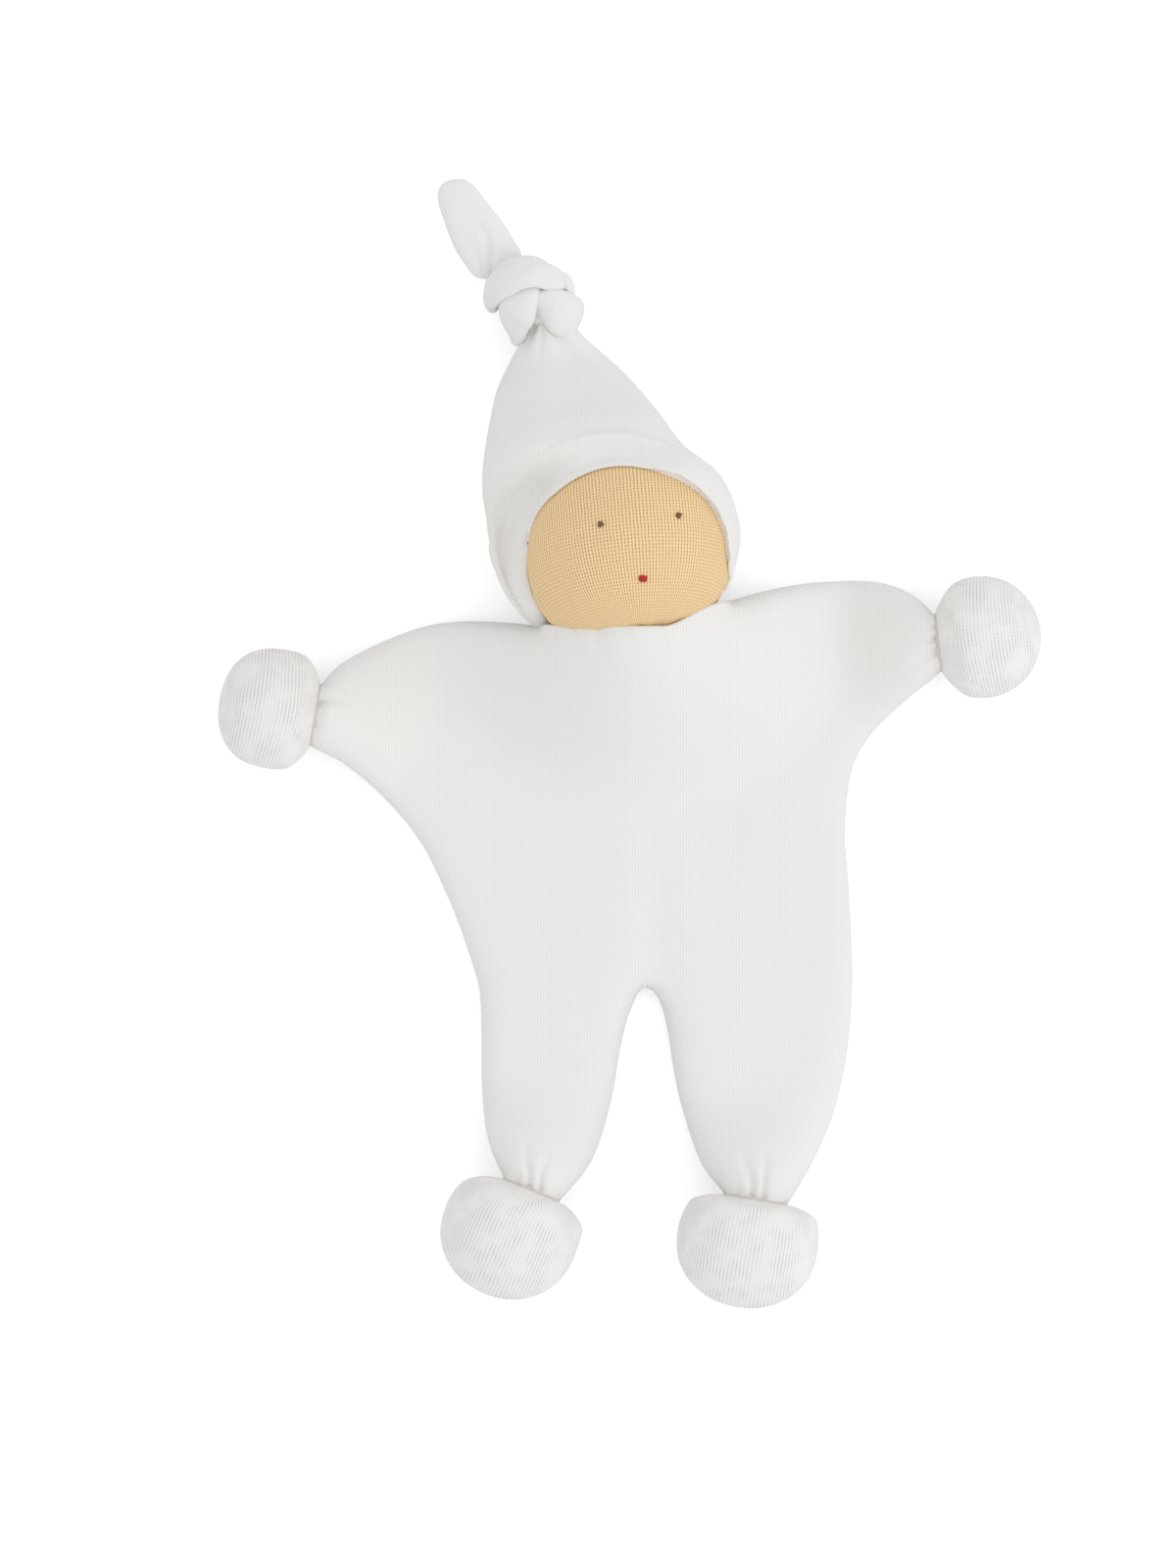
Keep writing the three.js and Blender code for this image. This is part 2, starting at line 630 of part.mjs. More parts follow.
function hoodRings(offset, count, around, last) {
  return even(count).map((share) => {
    const t = share * last;
    const a = hoodRight.getPointAt(t);
    const b = hoodLeft.getPointAt(t);
    const at = t * (hoodHalfHeights.length - 1);
    const low = Math.min(hoodHalfHeights.length - 2, Math.floor(at));
    const half = mix(hoodHalfHeights[low], hoodHalfHeights[low + 1], at - low);
    const centreZ = mix(Math.min(headZ, half + 0.2), hoodTipZ, ease((t - 0.9) / 0.1));
    const width = a.distanceTo(b) / 2;
    const middle = a.clone().add(b).multiplyScalar(0.5);
    const across = b.clone().sub(a).normalize();
    return even(around).slice(1).map((s) => {
      const angle = s * 2 * Math.PI;
      const bend = (value) => Math.sign(value) * Math.abs(value) ** (2 / 2.4);
      const point = middle.clone().addScaledVector(across, (width + offset) * bend(Math.cos(angle)));
      point.z = centreZ + (half + offset) * bend(Math.sin(angle));
      return point;
    });
  });
}

function hoodSolid(offset, count, around, last) {
  const rings = hoodRings(offset, count, around, last);
  const pole = (ring) => ring.reduce((sum, p) => sum.add(p), new THREE.Vector3()).divideScalar(ring.length);
  return solidOf(skin(rings, pole(rings[0]), pole(rings[rings.length - 1])));
}

function faceOpening() {
  const shape = new THREE.Shape();
  shape.absellipse(faceX, faceY, faceHalfWidth, faceHalfHeight, 0, Math.PI, false);
  shape.lineTo(faceX - faceHalfWidth, 0);
  shape.lineTo(faceX + faceHalfWidth, 0);
  shape.closePath();
  const geometry = new THREE.ExtrudeGeometry(shape, { depth: 60, bevelEnabled: false, curveSegments: 22 });
  geometry.translate(0, 0, faceFloor);
  return solidOf(geometry);
}

// The outer line of the hem lies on a rounded body about the face
function hemReach(grow) {
  const geometry = new THREE.SphereGeometry(1, 36, 20);
  geometry.rotateX(Math.PI / 2);
  const side = faceHalfWidth + hemWidth + 1 + grow;
  const along = faceHalfHeight + hemWidth + 1 + grow;
  geometry.scale(side, along, hemRoundDepth + grow);
  geometry.translate(faceX, faceY, hemRoundZ);
  return solidOf(geometry);
}

function belowHem() {
  const shape = new THREE.Shape();
  shape.moveTo(-80, hoodHemY - 80 * hoodHemSlope);
  shape.lineTo(80, hoodHemY + 80 * hoodHemSlope);
  shape.lineTo(80, -20);
  shape.lineTo(-80, -20);
  shape.closePath();
  const geometry = new THREE.ExtrudeGeometry(shape, { depth: 120, bevelEnabled: false });
  geometry.translate(0, 0, -30);
  return solidOf(geometry);
}

function hoodParts() {
  const bottom = belowHem();
  const room = hoodSolid(-hoodThickness, 12, 22, 0.93).add(headSpace);
  const outer = hoodSolid(0, 13, 24, 1).add(ball(headRadius + hoodThickness + 0.7, 26, 16));
  const raised = hoodSolid(hemRise, 13, 24, 0.8).add(ball(headRadius + hoodThickness + 0.7 + hemRise, 26, 16));
  const shell = outer.subtract(room).subtract(bottom);
  const hood = shell.subtract(hemReach(clearance)).subtract(faceOpening());
  const hem = raised.subtract(room).subtract(bottom).intersect(hemReach(0)).subtract(faceOpening());
  return { hood: tipTrim(hood), hem };
}

const tipRight = [hoodRightLine[hoodRightLine.length - 1][0], hoodRightLine[hoodRightLine.length - 1][1]];
const tipLeft = [hoodLeftLine[hoodLeftLine.length - 1][0], hoodLeftLine[hoodLeftLine.length - 1][1]];
const tipAxisZ = hoodTipZ + hoodHalfHeights[hoodHalfHeights.length - 1] + 0.05;
const tipOut = [-(tipLeft[1] - tipRight[1]), tipLeft[0] - tipRight[0]];

function tipTrim(hood) {
  return hood.subtract(foldRelief(tipRight, tipLeft, tipOut, tipAxisZ, tipBackFold, 4, 12));
}

// Overhand knot: the tip passes round itself in two crossed bands over a core
function bandAround(sideRadius, upRadius, thickness, x, y, z, spin, lean) {
  const rings = even(18).slice(1).map((t) => {
    const angle = t * 2 * Math.PI;
    const centre = new THREE.Vector3(sideRadius * Math.cos(angle), 0, upRadius * Math.sin(angle));
    const outward = new THREE.Vector3(Math.cos(angle), 0, Math.sin(angle));
    return even(8).slice(1).map((s) => {
      const turn = s * 2 * Math.PI;
      return centre
        .clone()
        .addScaledVector(outward, thickness * 0.8 * Math.cos(turn))
        .add(new THREE.Vector3(0, thickness * 1.15 * Math.sin(turn), 0));
    });
  });
  const geometry = skin(rings);
  geometry.rotateX(lean);
  geometry.rotateZ(spin);
  geometry.translate(x, y, z);
  return solidOf(geometry);
}

function tipKnot() {
  const core = new THREE.SphereGeometry(1, 16, 10);
  core.scale(9.4, 8.6, 8.6);
  core.rotateZ(radians(-20));
  core.translate(knotX, knotY, knotZ);
  const root = new THREE.SphereGeometry(1, 14, 8);
  root.scale(7, 5, 5.8);
  root.rotateZ(radians(8));
  root.translate((tipRight[0] + tipLeft[0]) / 2, (tipRight[1] + tipLeft[1]) / 2 + 3, hoodTipZ);
  const shoulder = new THREE.SphereGeometry(1, 14, 8);
  shoulder.scale(6.4, 5.2, 3.6);
  shoulder.rotateZ(radians(29));
  shoulder.translate(knotX - 7.2, knotY + 5.6, tailZ);
  const across = bandAround(8.2, 6.4, knotBandRadius, knotX + 1.6, knotY - 3.4, knotZ, radians(10), radians(18));
  const over = bandAround(8, 6.4, knotBandRadius, knotX + 0.4, knotY + 3.4, knotZ, radians(-34), radians(-14));
  const whole = [root, shoulder].map(solidOf).reduce((sum, solid) => sum.add(solid), solidOf(core));
  const table = box(-90, 40, 60, 160, -40, 0.2);
  const hoodSide = foldRelief(tipRight, tipLeft, tipOut, tipAxisZ, -1, 20, -40);
  const tailSide = foldRelief(tailBaseRight, tailBaseLeft, tailOut, tailAxisZ, tailBackFold, 3.2, 18);
  return whole.add(across).add(over).subtract(table).subtract(hoodSide).subtract(tailSide);
}

const tailAxisZ = tailZ + tailThickness / 2 + 0.05;
const tailOut = [-(tailBaseLeft[1] - tailBaseRight[1]), tailBaseLeft[0] - tailBaseRight[0]];

function tipTail() {
  const away = new THREE.Vector2(tailOut[0], tailOut[1]).normalize();
  const rings = even(6).map((t) => {
    const a = mixPoint(tailBaseRight, tailTipRight, t);
    const b = mixPoint(tailBaseLeft, tailTipLeft, t);
    const push = (clearance / 2) * (1 - t);
    const half = (tailThickness / 2) * mix(1, 0.55, t);
    return even(16).slice(1).map((s) => {
      const angle = s * 2 * Math.PI;
      const u = 0.5 + 0.5 * Math.sign(Math.cos(angle)) * Math.abs(Math.cos(angle)) ** 0.8;
      const [x, y] = mixPoint(a, b, u);
      const groove = 0.3 * Math.exp(-(((u - 0.5) / 0.14) ** 2));
      const lift = half * Math.sin(angle) * (1 - groove);
      return new THREE.Vector3(x + away.x * push, y + away.y * push, tailZ + lift);
    });
  });
  const centre = rings[0].reduce((sum, p) => sum.add(p), new THREE.Vector3()).divideScalar(16);
  const point = new THREE.Vector3(tailPoint[0], tailPoint[1], tailZ);
  return skin(rings, centre, point);
}

// A small flat stitch that lies on the face
function stitch(x, y, halfLength, halfWidth, halfHeight, turn) {
  const geometry = new THREE.SphereGeometry(1, 12, 8);
  geometry.scale(halfLength, halfWidth, halfHeight);
  const dx = x - headX;
  const dy = y - headY;
  const dz = Math.sqrt(headRadius ** 2 - dx ** 2 - dy ** 2);
  const outward = new THREE.Vector3(dx, dy, dz).normalize();
  const quaternion = new THREE.Quaternion().setFromUnitVectors(new THREE.Vector3(0, 0, 1), outward);
  geometry.rotateZ(turn);
  geometry.applyQuaternion(quaternion);
  const centre = outward.multiplyScalar(headRadius + clearance + halfHeight);
  geometry.translate(headX + centre.x, headY + centre.y, headZ + centre.z);
  return geometry;
}

const doll = new THREE.Group();
const materials = {
  cloth: new THREE.MeshStandardMaterial({ color: clothColour, roughness: 0.95, metalness: 0 }),
  skin: new THREE.MeshStandardMaterial({ color: skinColour, roughness: 0.92, metalness: 0 }),
  eye: new THREE.MeshStandardMaterial({ color: eyeColour, roughness: 0.8, metalness: 0 }),
  mouth: new THREE.MeshStandardMaterial({ color: mouthColour, roughness: 0.8, metalness: 0 }),
  thread: new THREE.MeshStandardMaterial({ color: threadColour, roughness: 0.8, metalness: 0 }),
  wool: new THREE.MeshStandardMaterial({ color: woolColour, roughness: 1, metalness: 0 }),
};

function add(name, geometry, material) {
  const mesh = new THREE.Mesh(geometry, materials[material]);
  mesh.name = name;
  doll.add(mesh);
}

add("torso_front", geometryOf(trim(bodyFront, [...bodyReliefs, neckRelief])), "cloth");
add("torso_back", geometryOf(trim(bodyBack, [...bodyReliefs, neckRelief])), "cloth");
add("torso_wool", geometryOf(bodyWool), "wool");
add("collar_front", geometryOf(bodyFront.intersect(collarSpace).subtract(headSpace)), "cloth");
add("collar_back", geometryOf(bodyBack.intersect(collarSpace).subtract(headSpace)), "cloth");

const limbs = [
  ["right_arm", "rightArmTop", "rightArmUnder", ties.rightHand, wristBackFold, 10, 11],
  ["left_arm", "leftArmTop", "leftArmUnder", ties.leftHand, wristBackFold, 9, 10],
  ["right_leg", "rightLegOuter", "rightLegInner", ties.rightFoot, ankleBackFold, 12, 9],
  ["left_leg", "leftLegOuter", "leftLegInner", ties.leftFoot, ankleBackFold, 12, 9],
];
for (const [name, first, second, tie, backFold, lengthwise, across] of limbs) {
  const from = clearance / 2;
  const tieAxisZ = tie.z + tieHalfHeight + 0.35;
  const relief = foldRelief(tie.end(-1), tie.end(1), [tie.out.x, tie.out.y], tieAxisZ, backFold, 4, 8);
  const front = solidOf(slab(limbGrid(edges[first], edges[second], lengthwise, across, from, 0, 1), "front"));
  const back = solidOf(slab(limbGrid(edges[first], edges[second], lengthwise - 3, across - 4, from, 0, 1), "back"));
  add(`${name}_front`, geometryOf(front.subtract(relief)), "cloth");
  add(`${name}_back`, geometryOf(back.subtract(relief)), "cloth");
  const wool = slab(limbGrid(edges[first], edges[second], 6, 5, 1, woolInset, 0.8), "wool");
  add(`${name}_wool`, wool, "wool");
}

const balls = [
  ["right_hand", ties.rightHand, rightHandSize],
  ["left_hand", ties.leftHand, leftHandSize],
  ["right_foot", ties.rightFoot, rightFootSize],
  ["left_foot", ties.leftFoot, leftFootSize],
];
const threadGaps = [];
for (const [name, tie, size] of balls) {
  const form = ballForm(tie, size);
  const seat = clearance + threadRadius;
  const wound = winding(tie.point, form.neckSide + seat, form.neckUp + seat, threadStart + threadRadius);
  threadGaps.push(wound.least);
  add(`${name}_cover`, form.cover, "cloth");
  add(`${name}_wool`, form.wool, "wool");
  add(`${name}_tie`, wound.geometry, "thread");
}

const neckPlace = (along, side, up) => new THREE.Vector3(headX + side, neckStubEnd + along, headZ + up);
const neckWound = winding(
  neckPlace,
  neckStubRadius + clearance + threadRadius,
  neckStubRadius + clearance + threadRadius,
  threadRadius + 0.3,
);
threadGaps.push(neckWound.least);
add("head_cover", headSkin(), "skin");
const headWool = new THREE.SphereGeometry(headRadius - skinThickness - clearance - 0.2, 18, 12);
headWool.translate(headX, headY, headZ);
add("head_wool", headWool, "wool");
add("neck_tie", neckWound.geometry, "thread");
add("right_eye_stitch", stitch(-10.5, 58.1, 0.9, 0.85, 0.4, 0), "eye");
add("left_eye_stitch", stitch(7.2, 60.1, 0.9, 0.85, 0.4, 0), "eye");
add("mouth_stitch", stitch(-0.9, 45.9, 1.15, 0.8, 0.4, radians(8)), "mouth");

const { hood, hem } = hoodParts();
add("hood", geometryOf(hood), "cloth");
add("hood_hem", geometryOf(hem), "cloth");
add("tip_knot", geometryOf(tipKnot()), "cloth");
add("tip_tail", tipTail(), "cloth");

const leastThreadGap = Math.min(...threadGaps);
console.log(`least gap between turns of a tie: ${leastThreadGap.toFixed(2)} mm`);
console.log(`shoulder fold heights: ${shoulderAxisZ.right.toFixed(2)} and ${shoulderAxisZ.left.toFixed(2)} mm`);
console.log(`hip fold heights: ${hipAxisZ.right.toFixed(2)} and ${hipAxisZ.left.toFixed(2)} mm`);
console.log(`neck fold height: ${neckAxisZ.toFixed(2)} mm, tip fold ${tipAxisZ.toFixed(2)}, tail ${tailAxisZ.toFixed(2)}`);

export default doll;
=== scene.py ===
"""A cloth comforter doll with a knotted hood, lying on its back and seen from straight above."""

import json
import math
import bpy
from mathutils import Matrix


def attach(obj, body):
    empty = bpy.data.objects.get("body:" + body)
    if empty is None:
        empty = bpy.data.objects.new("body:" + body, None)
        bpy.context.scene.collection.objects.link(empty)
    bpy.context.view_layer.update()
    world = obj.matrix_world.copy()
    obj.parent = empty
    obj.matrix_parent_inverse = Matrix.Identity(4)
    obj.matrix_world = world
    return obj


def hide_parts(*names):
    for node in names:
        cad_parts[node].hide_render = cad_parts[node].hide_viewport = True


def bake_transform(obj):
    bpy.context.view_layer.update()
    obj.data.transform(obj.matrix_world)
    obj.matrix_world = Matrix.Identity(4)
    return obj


bl_info = {
    "name": "Cloth comforter doll",
    "version": (1, 0, 0),
    "blender": (4, 5, 0),
    "location": "3D View > Sidebar > Doll",
    "description": "Builds the cloth, knit, threads and stage of a comforter doll round its packed frame",
    "category": "Add Mesh",
}

import bpy
import numpy as np
from mathutils import Vector
from mathutils.geometry import delaunay_2d_cdt

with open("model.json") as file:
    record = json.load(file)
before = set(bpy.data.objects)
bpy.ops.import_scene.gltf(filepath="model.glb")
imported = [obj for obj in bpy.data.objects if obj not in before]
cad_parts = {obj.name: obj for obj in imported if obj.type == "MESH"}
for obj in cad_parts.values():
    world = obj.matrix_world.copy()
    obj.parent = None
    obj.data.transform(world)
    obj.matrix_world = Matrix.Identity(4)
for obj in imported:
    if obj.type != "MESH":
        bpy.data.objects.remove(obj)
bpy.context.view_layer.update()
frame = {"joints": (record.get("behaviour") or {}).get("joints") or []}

MM = 0.001

# Head ball and the places of its stitches, in millimetres
HEAD = np.array([-3.3, 52.8, 24.7])
HEAD_RADIUS = 22.6
GATHER_AXIS = np.array([0.08, -0.97, 0.22])
EYES = [(-10.45, 58.1), (7.15, 60.1)]
MOUTH = (-0.9, 45.9)

# Ties of the wrists and ankles: middle, way out, half width and height. ball: half sizes of the ball beyond it
# along the limb, across it and upwards, and how far its centre is from the tie. shape: how square the ball is, over
# what length it rounds off from the tie, and its shift sideways.
TIES = {
    "right_hand": dict(
        at=(-74.3, 15.5), out=(-0.986, 0.167), half=7.25, z=12.3,
        ball=(12.5, 13.6, 12.1, 9.4), shape=(0.88, 4.9, 0.2),
    ),
    "left_hand": dict(
        at=(65.3, 31.7), out=(0.993, 0.119), half=6.7, z=12.3,
        ball=(13.2, 13.8, 12.1, 10.1), shape=(1.0, 5.8, 0.1),
    ),
    "right_foot": dict(
        at=(-25.9, -91.0), out=(-0.385, -0.923), half=7.0, z=13.4,
        ball=(15.4, 15.6, 13.0, 10.3), shape=(0.95, 4.3, -0.8),
    ),
    "left_foot": dict(
        at=(24.4, -93.1), out=(-0.16, -0.987), half=7.4, z=13.4,
        ball=(15.0, 16.0, 13.2, 9.7), shape=(0.95, 2.6, -0.2),
    ),
}

# Half height of the cloth at a tie, how far its draw is felt in the body, and the turns of its thread
TIE_HALF_HEIGHT = 6.0
TIE_REACH = 27.0
TIE_TURNS = 3.2

# The limb that each tie ends
LIMBS = {"right_hand": "right_arm", "left_hand": "left_arm", "right_foot": "right_leg", "left_foot": "left_leg"}

# How far the folds at shoulders and hips reach into a limb, and the length of its gathered end
LIMB_FOLD = 9.5
GATHER_LENGTH = 9.0

# Neck: half height and crown of the padding, where its rise starts and how far it reaches in front and behind
NECK_HALF_HEIGHT = 15.4
NECK_CROWN = 17.0
NECK_Y = 35.3
NECK_REACH = 45.0
NECK_BACK_REACH = 28.0

# Collar: the part of the cloth at the neck. Its half width, lower edge, how far its fold reaches and how
# high it lies, then the height of the fold at the shoulders and where each slanting cut towards them ends.
COLLAR_HALF_WIDTH = 20.4
COLLAR_LOW = 24.0
COLLAR_FOLD = 9.0
COLLAR_Z = 30.0
SHOULDER_Z = 20.0
SHOULDER_CORNERS = {"right": (-38.0, 36.7), "left": (38.0, 45.2)}

# Outline of the body cloth, seen from above
RIGHT_SHOULDER = [(-69.3, 26.5), (-61.4, 31.0), (-50.2, 35.3), (-41.8, 36.5), (-31.0, 36.2), (-24.0, 35.4)]
NECKLINE = [
    (-24.0, 35.4), (-18.7, 34.9), (-12.0, 34.9), (0.0, 34.9), (5.0, 35.0), (9.4, 36.9), (13.5, 39.1), (18.7, 41.1),
]
LEFT_SHOULDER = [(18.7, 41.1), (26.4, 43.3), (34.0, 44.8), (41.8, 45.5), (49.5, 45.6), (55.9, 44.3), (61.2, 41.4)]
LEFT_SIDE = [
    (57.8, 18.4), (50.3, 11.0), (46.6, 4.6), (45.3, -1.0), (44.5, -11.0), (45.3, -22.0), (46.0, -35.2),
    (46.2, -44.4), (45.7, -54.0), (44.4, -64.0), (41.6, -75.0), (37.2, -85.0),
]
CROTCH = [
    (12.4, -85.4), (8.2, -73.6), (6.3, -65.5), (5.0, -57.2), (4.0, -52.0), (2.6, -48.1), (1.2, -46.3), (-0.4, -45.8),
    (-1.9, -46.9), (-3.2, -49.6), (-4.4, -52.8), (-5.7, -58.2), (-8.2, -72.0), (-12.4, -84.6),
]
RIGHT_SIDE = [
    (-35.6, -80.0), (-37.0, -68.0), (-37.1, -57.2), (-37.6, -46.2), (-39.4, -39.6), (-42.2, -31.5), (-45.3, -24.0),
    (-50.6, -13.4), (-57.6, -4.6), (-67.8, 4.4),
]

# Creases drawn in by the ties and the neckline: points, half width and depth
CREASES = [
    ([(-26.5, -91.0), (-26.3, -87.2), (-27.1, -84.5), (-27.1, -81.4), (-26.8, -77.5)], 0.6, 1.5),
    ([(-24.0, -91.0), (-23.9, -88.2), (-23.1, -85.4), (-21.4, -81.6)], 0.65, 1.4),
    ([(-29.2, -90.0), (-29.0, -87.8), (-29.6, -85.6)], 0.6, 0.7),
    ([(23.5, -93.0), (23.6, -88.6), (21.7, -84.6), (21.2, -79.4)], 0.65, 1.5),
    ([(26.1, -93.0), (26.3, -88.6), (26.7, -84.6), (27.4, -79.4)], 0.6, 1.3),
    ([(20.2, -92.8), (20.4, -90.0), (19.4, -87.6)], 0.6, 0.6),
    ([(-74.8, 18.0), (-70.6, 18.7), (-67.0, 18.1), (-64.5, 17.0)], 0.55, 1.9),
    ([(-75.0, 13.2), (-71.4, 12.6), (-68.4, 12.9)], 0.8, 0.7),
    ([(66.0, 33.0), (63.7, 32.1), (61.2, 32.3), (58.0, 33.6)], 0.6, 1.5),
    ([(66.0, 35.6), (64.0, 35.2), (62.0, 35.8)], 0.5, 1.0),
    ([(66.0, 29.6), (63.9, 29.2), (61.2, 27.6), (57.6, 25.6)], 1.2, 1.6),
    ([(-16.6, 36.0), (-16.9, 31.7), (-18.6, 29.3)], 0.7, 0.55),
    ([(-10.9, 36.0), (-11.1, 32.3), (-9.6, 28.6), (-8.0, 26.6)], 0.75, 0.7),
]

# Hood: its two side lines from the chin to the knot, half heights along it, how high its tip lies, and the edge of
# the opening for the face
HOOD_RIGHT = [
    (-22.6, 33.4), (-28.5, 38.9), (-31.7, 43.6), (-33.7, 48.4), (-35.0, 53.5), (-36.0, 58.5), (-36.7, 64.0),
    (-36.8, 70.4), (-35.9, 79.2), (-33.7, 88.0), (-30.5, 95.0), (-28.5, 99.0), (-27.6, 103.5),
]
HOOD_LEFT = [
    (17.0, 43.6), (18.9, 48.0), (20.1, 51.5), (20.4, 56.0), (19.8, 60.3), (18.4, 65.0), (16.3, 69.2), (13.5, 72.4),
    (7.6, 76.8), (2.2, 83.4), (-4.8, 92.2), (-9.9, 96.8), (-13.9, 100.4), (-17.5, 104.5),
]
HOOD_HALF_HEIGHTS = [21.5, 24.0, 24.3, 24.0, 20.5, 15.5, 10.0, 6.2, 4.6]
HOOD_TIP_Z = 7.8
FACE_OPENING = [
    (-18.6, 28.0), (-21.1, 34.5), (-24.1, 38.8), (-26.4, 43.8), (-27.1, 49.4), (-25.4, 56.0), (-22.0, 61.8),
    (-17.6, 66.4), (-11.9, 69.5), (-6.2, 70.7), (-1.5, 70.9), (3.3, 70.6), (8.3, 69.0), (12.9, 65.4), (16.3, 61.0),
    (18.3, 55.5), (18.9, 49.0), (18.8, 40.0), (18.0, 28.0),
]

# Hood: width of the brim, thickness of the cloth, the heights above which it is lowered on to the head and at its
# right side, and the place and way of the fold in front of the knot
BRIM_WIDTH = 9.2
HOOD_CLOTH = 0.6
HOOD_LOW = 15.0
HOOD_SIDE_LOW = 12.0
HOOD_FOLD = np.array([-21.35, 99.45, 10.0])
HOOD_FOLD_WAY = np.array([-0.1164, 0.9932, 0.0])
HOOD_CREASES = [
    ([(-25.0, 105.0), (-26.6, 101.4), (-27.4, 98.4), (-28.0, 94.0)], 1.0, 1.6),
    ([(-21.4, 104.0), (-19.8, 101.2), (-17.2, 98.0), (-13.5, 93.0)], 1.3, 1.8),
    ([(-23.4, 104.0), (-23.9, 98.0), (-24.6, 90.0)], 0.8, 0.5),
]

# Knot: its core as points with a radius at each, and each wrap of cloth as middle points with half widths, and
# its half thickness
KNOT_MIDDLE = np.array([-25.4, 109.6, 9.4])
KNOT_CORE = [(-21.5, 103.5, 7.2), (-23.5, 107.5, 8.6), (-26.5, 111.0, 9.0), (-30.5, 114.5, 8.2), (-33.0, 116.5, 7.8)]
KNOT_RADII = ([0, 0.2, 0.5, 0.8, 1.0], [3.0, 5.4, 6.4, 4.8, 2.6])
WRAPS = [
    # round the right side, over the neck of the hood
    ([(-27.0, 106.6, 8.4, 3.2), (-25.0, 107.3, 12.2, 3.8), (-22.4, 106.9, 13.8, 4.4), (-19.8, 106.0, 13.8, 4.9),
      (-17.8, 104.9, 11.8, 5.1), (-17.0, 104.1, 8.8, 5.0), (-17.6, 104.4, 5.4, 4.2), (-20.0, 105.6, 3.6, 3.2)], 2.0),
    # down the left side
    ([(-26.2, 113.0, 12.4, 3.0), (-27.8, 110.6, 14.6, 4.0), (-29.0, 107.9, 15.2, 4.5), (-29.5, 105.2, 14.0, 4.7),
      (-29.5, 103.0, 11.6, 3.7), (-29.0, 101.0, 9.2, 2.3), (-28.6, 99.6, 7.0, 1.3)], 2.0),
    # across the top, from the left bulge to the upper right
    ([(-34.4, 108.0, 4.8, 3.0), (-35.0, 109.6, 8.0, 3.6), (-34.1, 111.6, 11.6, 4.5), (-31.9, 113.5, 13.8, 5.2),
      (-28.9, 114.9, 15.0, 5.3), (-25.5, 115.2, 15.0, 4.8), (-22.4, 114.2, 14.0, 4.1), (-19.8, 113.1, 11.6, 3.2),
      (-19.1, 112.3, 8.6, 2.6)], 1.8),
    # the turned edge at the right end
    ([(-20.4, 114.2, 12.2, 0.9), (-18.6, 113.6, 12.2, 1.7), (-17.4, 112.0, 11.6, 2.1),
      (-17.2, 109.8, 11.2, 1.6)], 1.1),
    # round the back
    ([(-33.0, 111.0, 6.0, 3.4), (-29.0, 112.6, 4.0, 4.0), (-25.0, 111.0, 3.0, 4.2), (-21.0, 108.6, 3.0, 4.2),
      (-18.0, 107.0, 5.4, 3.4)], 2.0),
]

# Free end: its outline, the height of its middle, its half height, and the place and way of its fold at the knot
TAIL_OUTLINE = [
    (-36.4, 113.4), (-38.6, 114.0), (-40.4, 116.1), (-43.2, 120.4), (-45.6, 126.6), (-46.9, 131.0), (-46.8, 133.4),
    (-45.4, 135.2), (-42.9, 135.9), (-40.6, 135.7), (-39.0, 134.6), (-35.8, 130.6), (-32.2, 126.0), (-29.7, 122.0),
    (-28.2, 119.2), (-28.6, 116.2), (-32.0, 113.2),
]
TAIL_Z = 7.6
TAIL_HALF_HEIGHT = 2.5
TAIL_FOLD = np.array([-33.85, 117.1, 8.0])
TAIL_WAY = np.array([-0.481, 0.8767, 0.0])
TAIL_CREASES = [
    ([(-35.0, 113.5), (-35.3, 118.0), (-36.0, 122.9), (-38.3, 126.9), (-40.6, 132.4)], 0.6, 1.0),
    ([(-36.0, 113.0), (-36.9, 116.0), (-38.4, 119.6), (-39.6, 124.0)], 0.5, 0.8),
]

# Stitches of the face, as strands: angle in degrees, half length and shift sideways, and a strand's radius
EYE_STRANDS = [(70, 0.62, 0.0), (-25, 0.7, 0.1), (20, 0.66, -0.22), (115, 0.5, 0.2)]
EYE_STRAND_RADIUS = 0.27
MOUTH_STRANDS = [(-8, 0.85, 0.42), (-8, 0.95, 0.0), (-8, 0.8, -0.42)]
MOUTH_STRAND_RADIUS = 0.30

# Thread round the head's gather, hidden in the collar
NECK_THREAD = dict(radius=6.2, y=27.0, length=1.6, turns=3.15)

# Knit: how far a strand slants and how much the ribs wander, in ribs
STRAND_LEAN = 0.5
RIB_WANDER = 0.48

# Stage, in metres: the middle, height and level of the view, the floor's half width and height, and the lamp
VIEW_X = -0.0132
VIEW_HEIGHT = 0.352
VIEW_LEVEL = 0.012
FLOOR_HALF = 4.0
FLOOR_Z = -0.0003
LAMP_PLACE = (1.3, -0.35, 1.15)
LAMP_SIZE = 1.6


def ease(value):
    value = np.clip(value, 0.0, 1.0)
    return value * value * (3.0 - 2.0 * value)


def smoothed(rows, reach):
    """Running mean of each row with its neighbours out to a reach."""
    rows = np.asarray(rows, float)
    total = np.concatenate([[rows[0] * 0], np.cumsum(rows, axis=0)])
    i = np.arange(len(rows))
    low, high = np.maximum(i - reach, 0), np.minimum(i + reach + 1, len(rows))
    return (total[high] - total[low]) / (high - low).reshape(-1, *[1] * (rows.ndim - 1))


def unit(vectors):
    return vectors / np.maximum(np.linalg.norm(vectors, axis=-1, keepdims=True), 1e-12)


def run_length(points):
    """How far along a line of points each of them lies."""
    return np.concatenate([[0.0], np.cumsum(np.linalg.norm(np.diff(points, axis=0), axis=1))])


def squared_off(value, power):
    """A sine or cosine raised to a power with its sign kept, which fills out or thins a round shape."""
    return np.sign(value) * np.abs(value) ** power


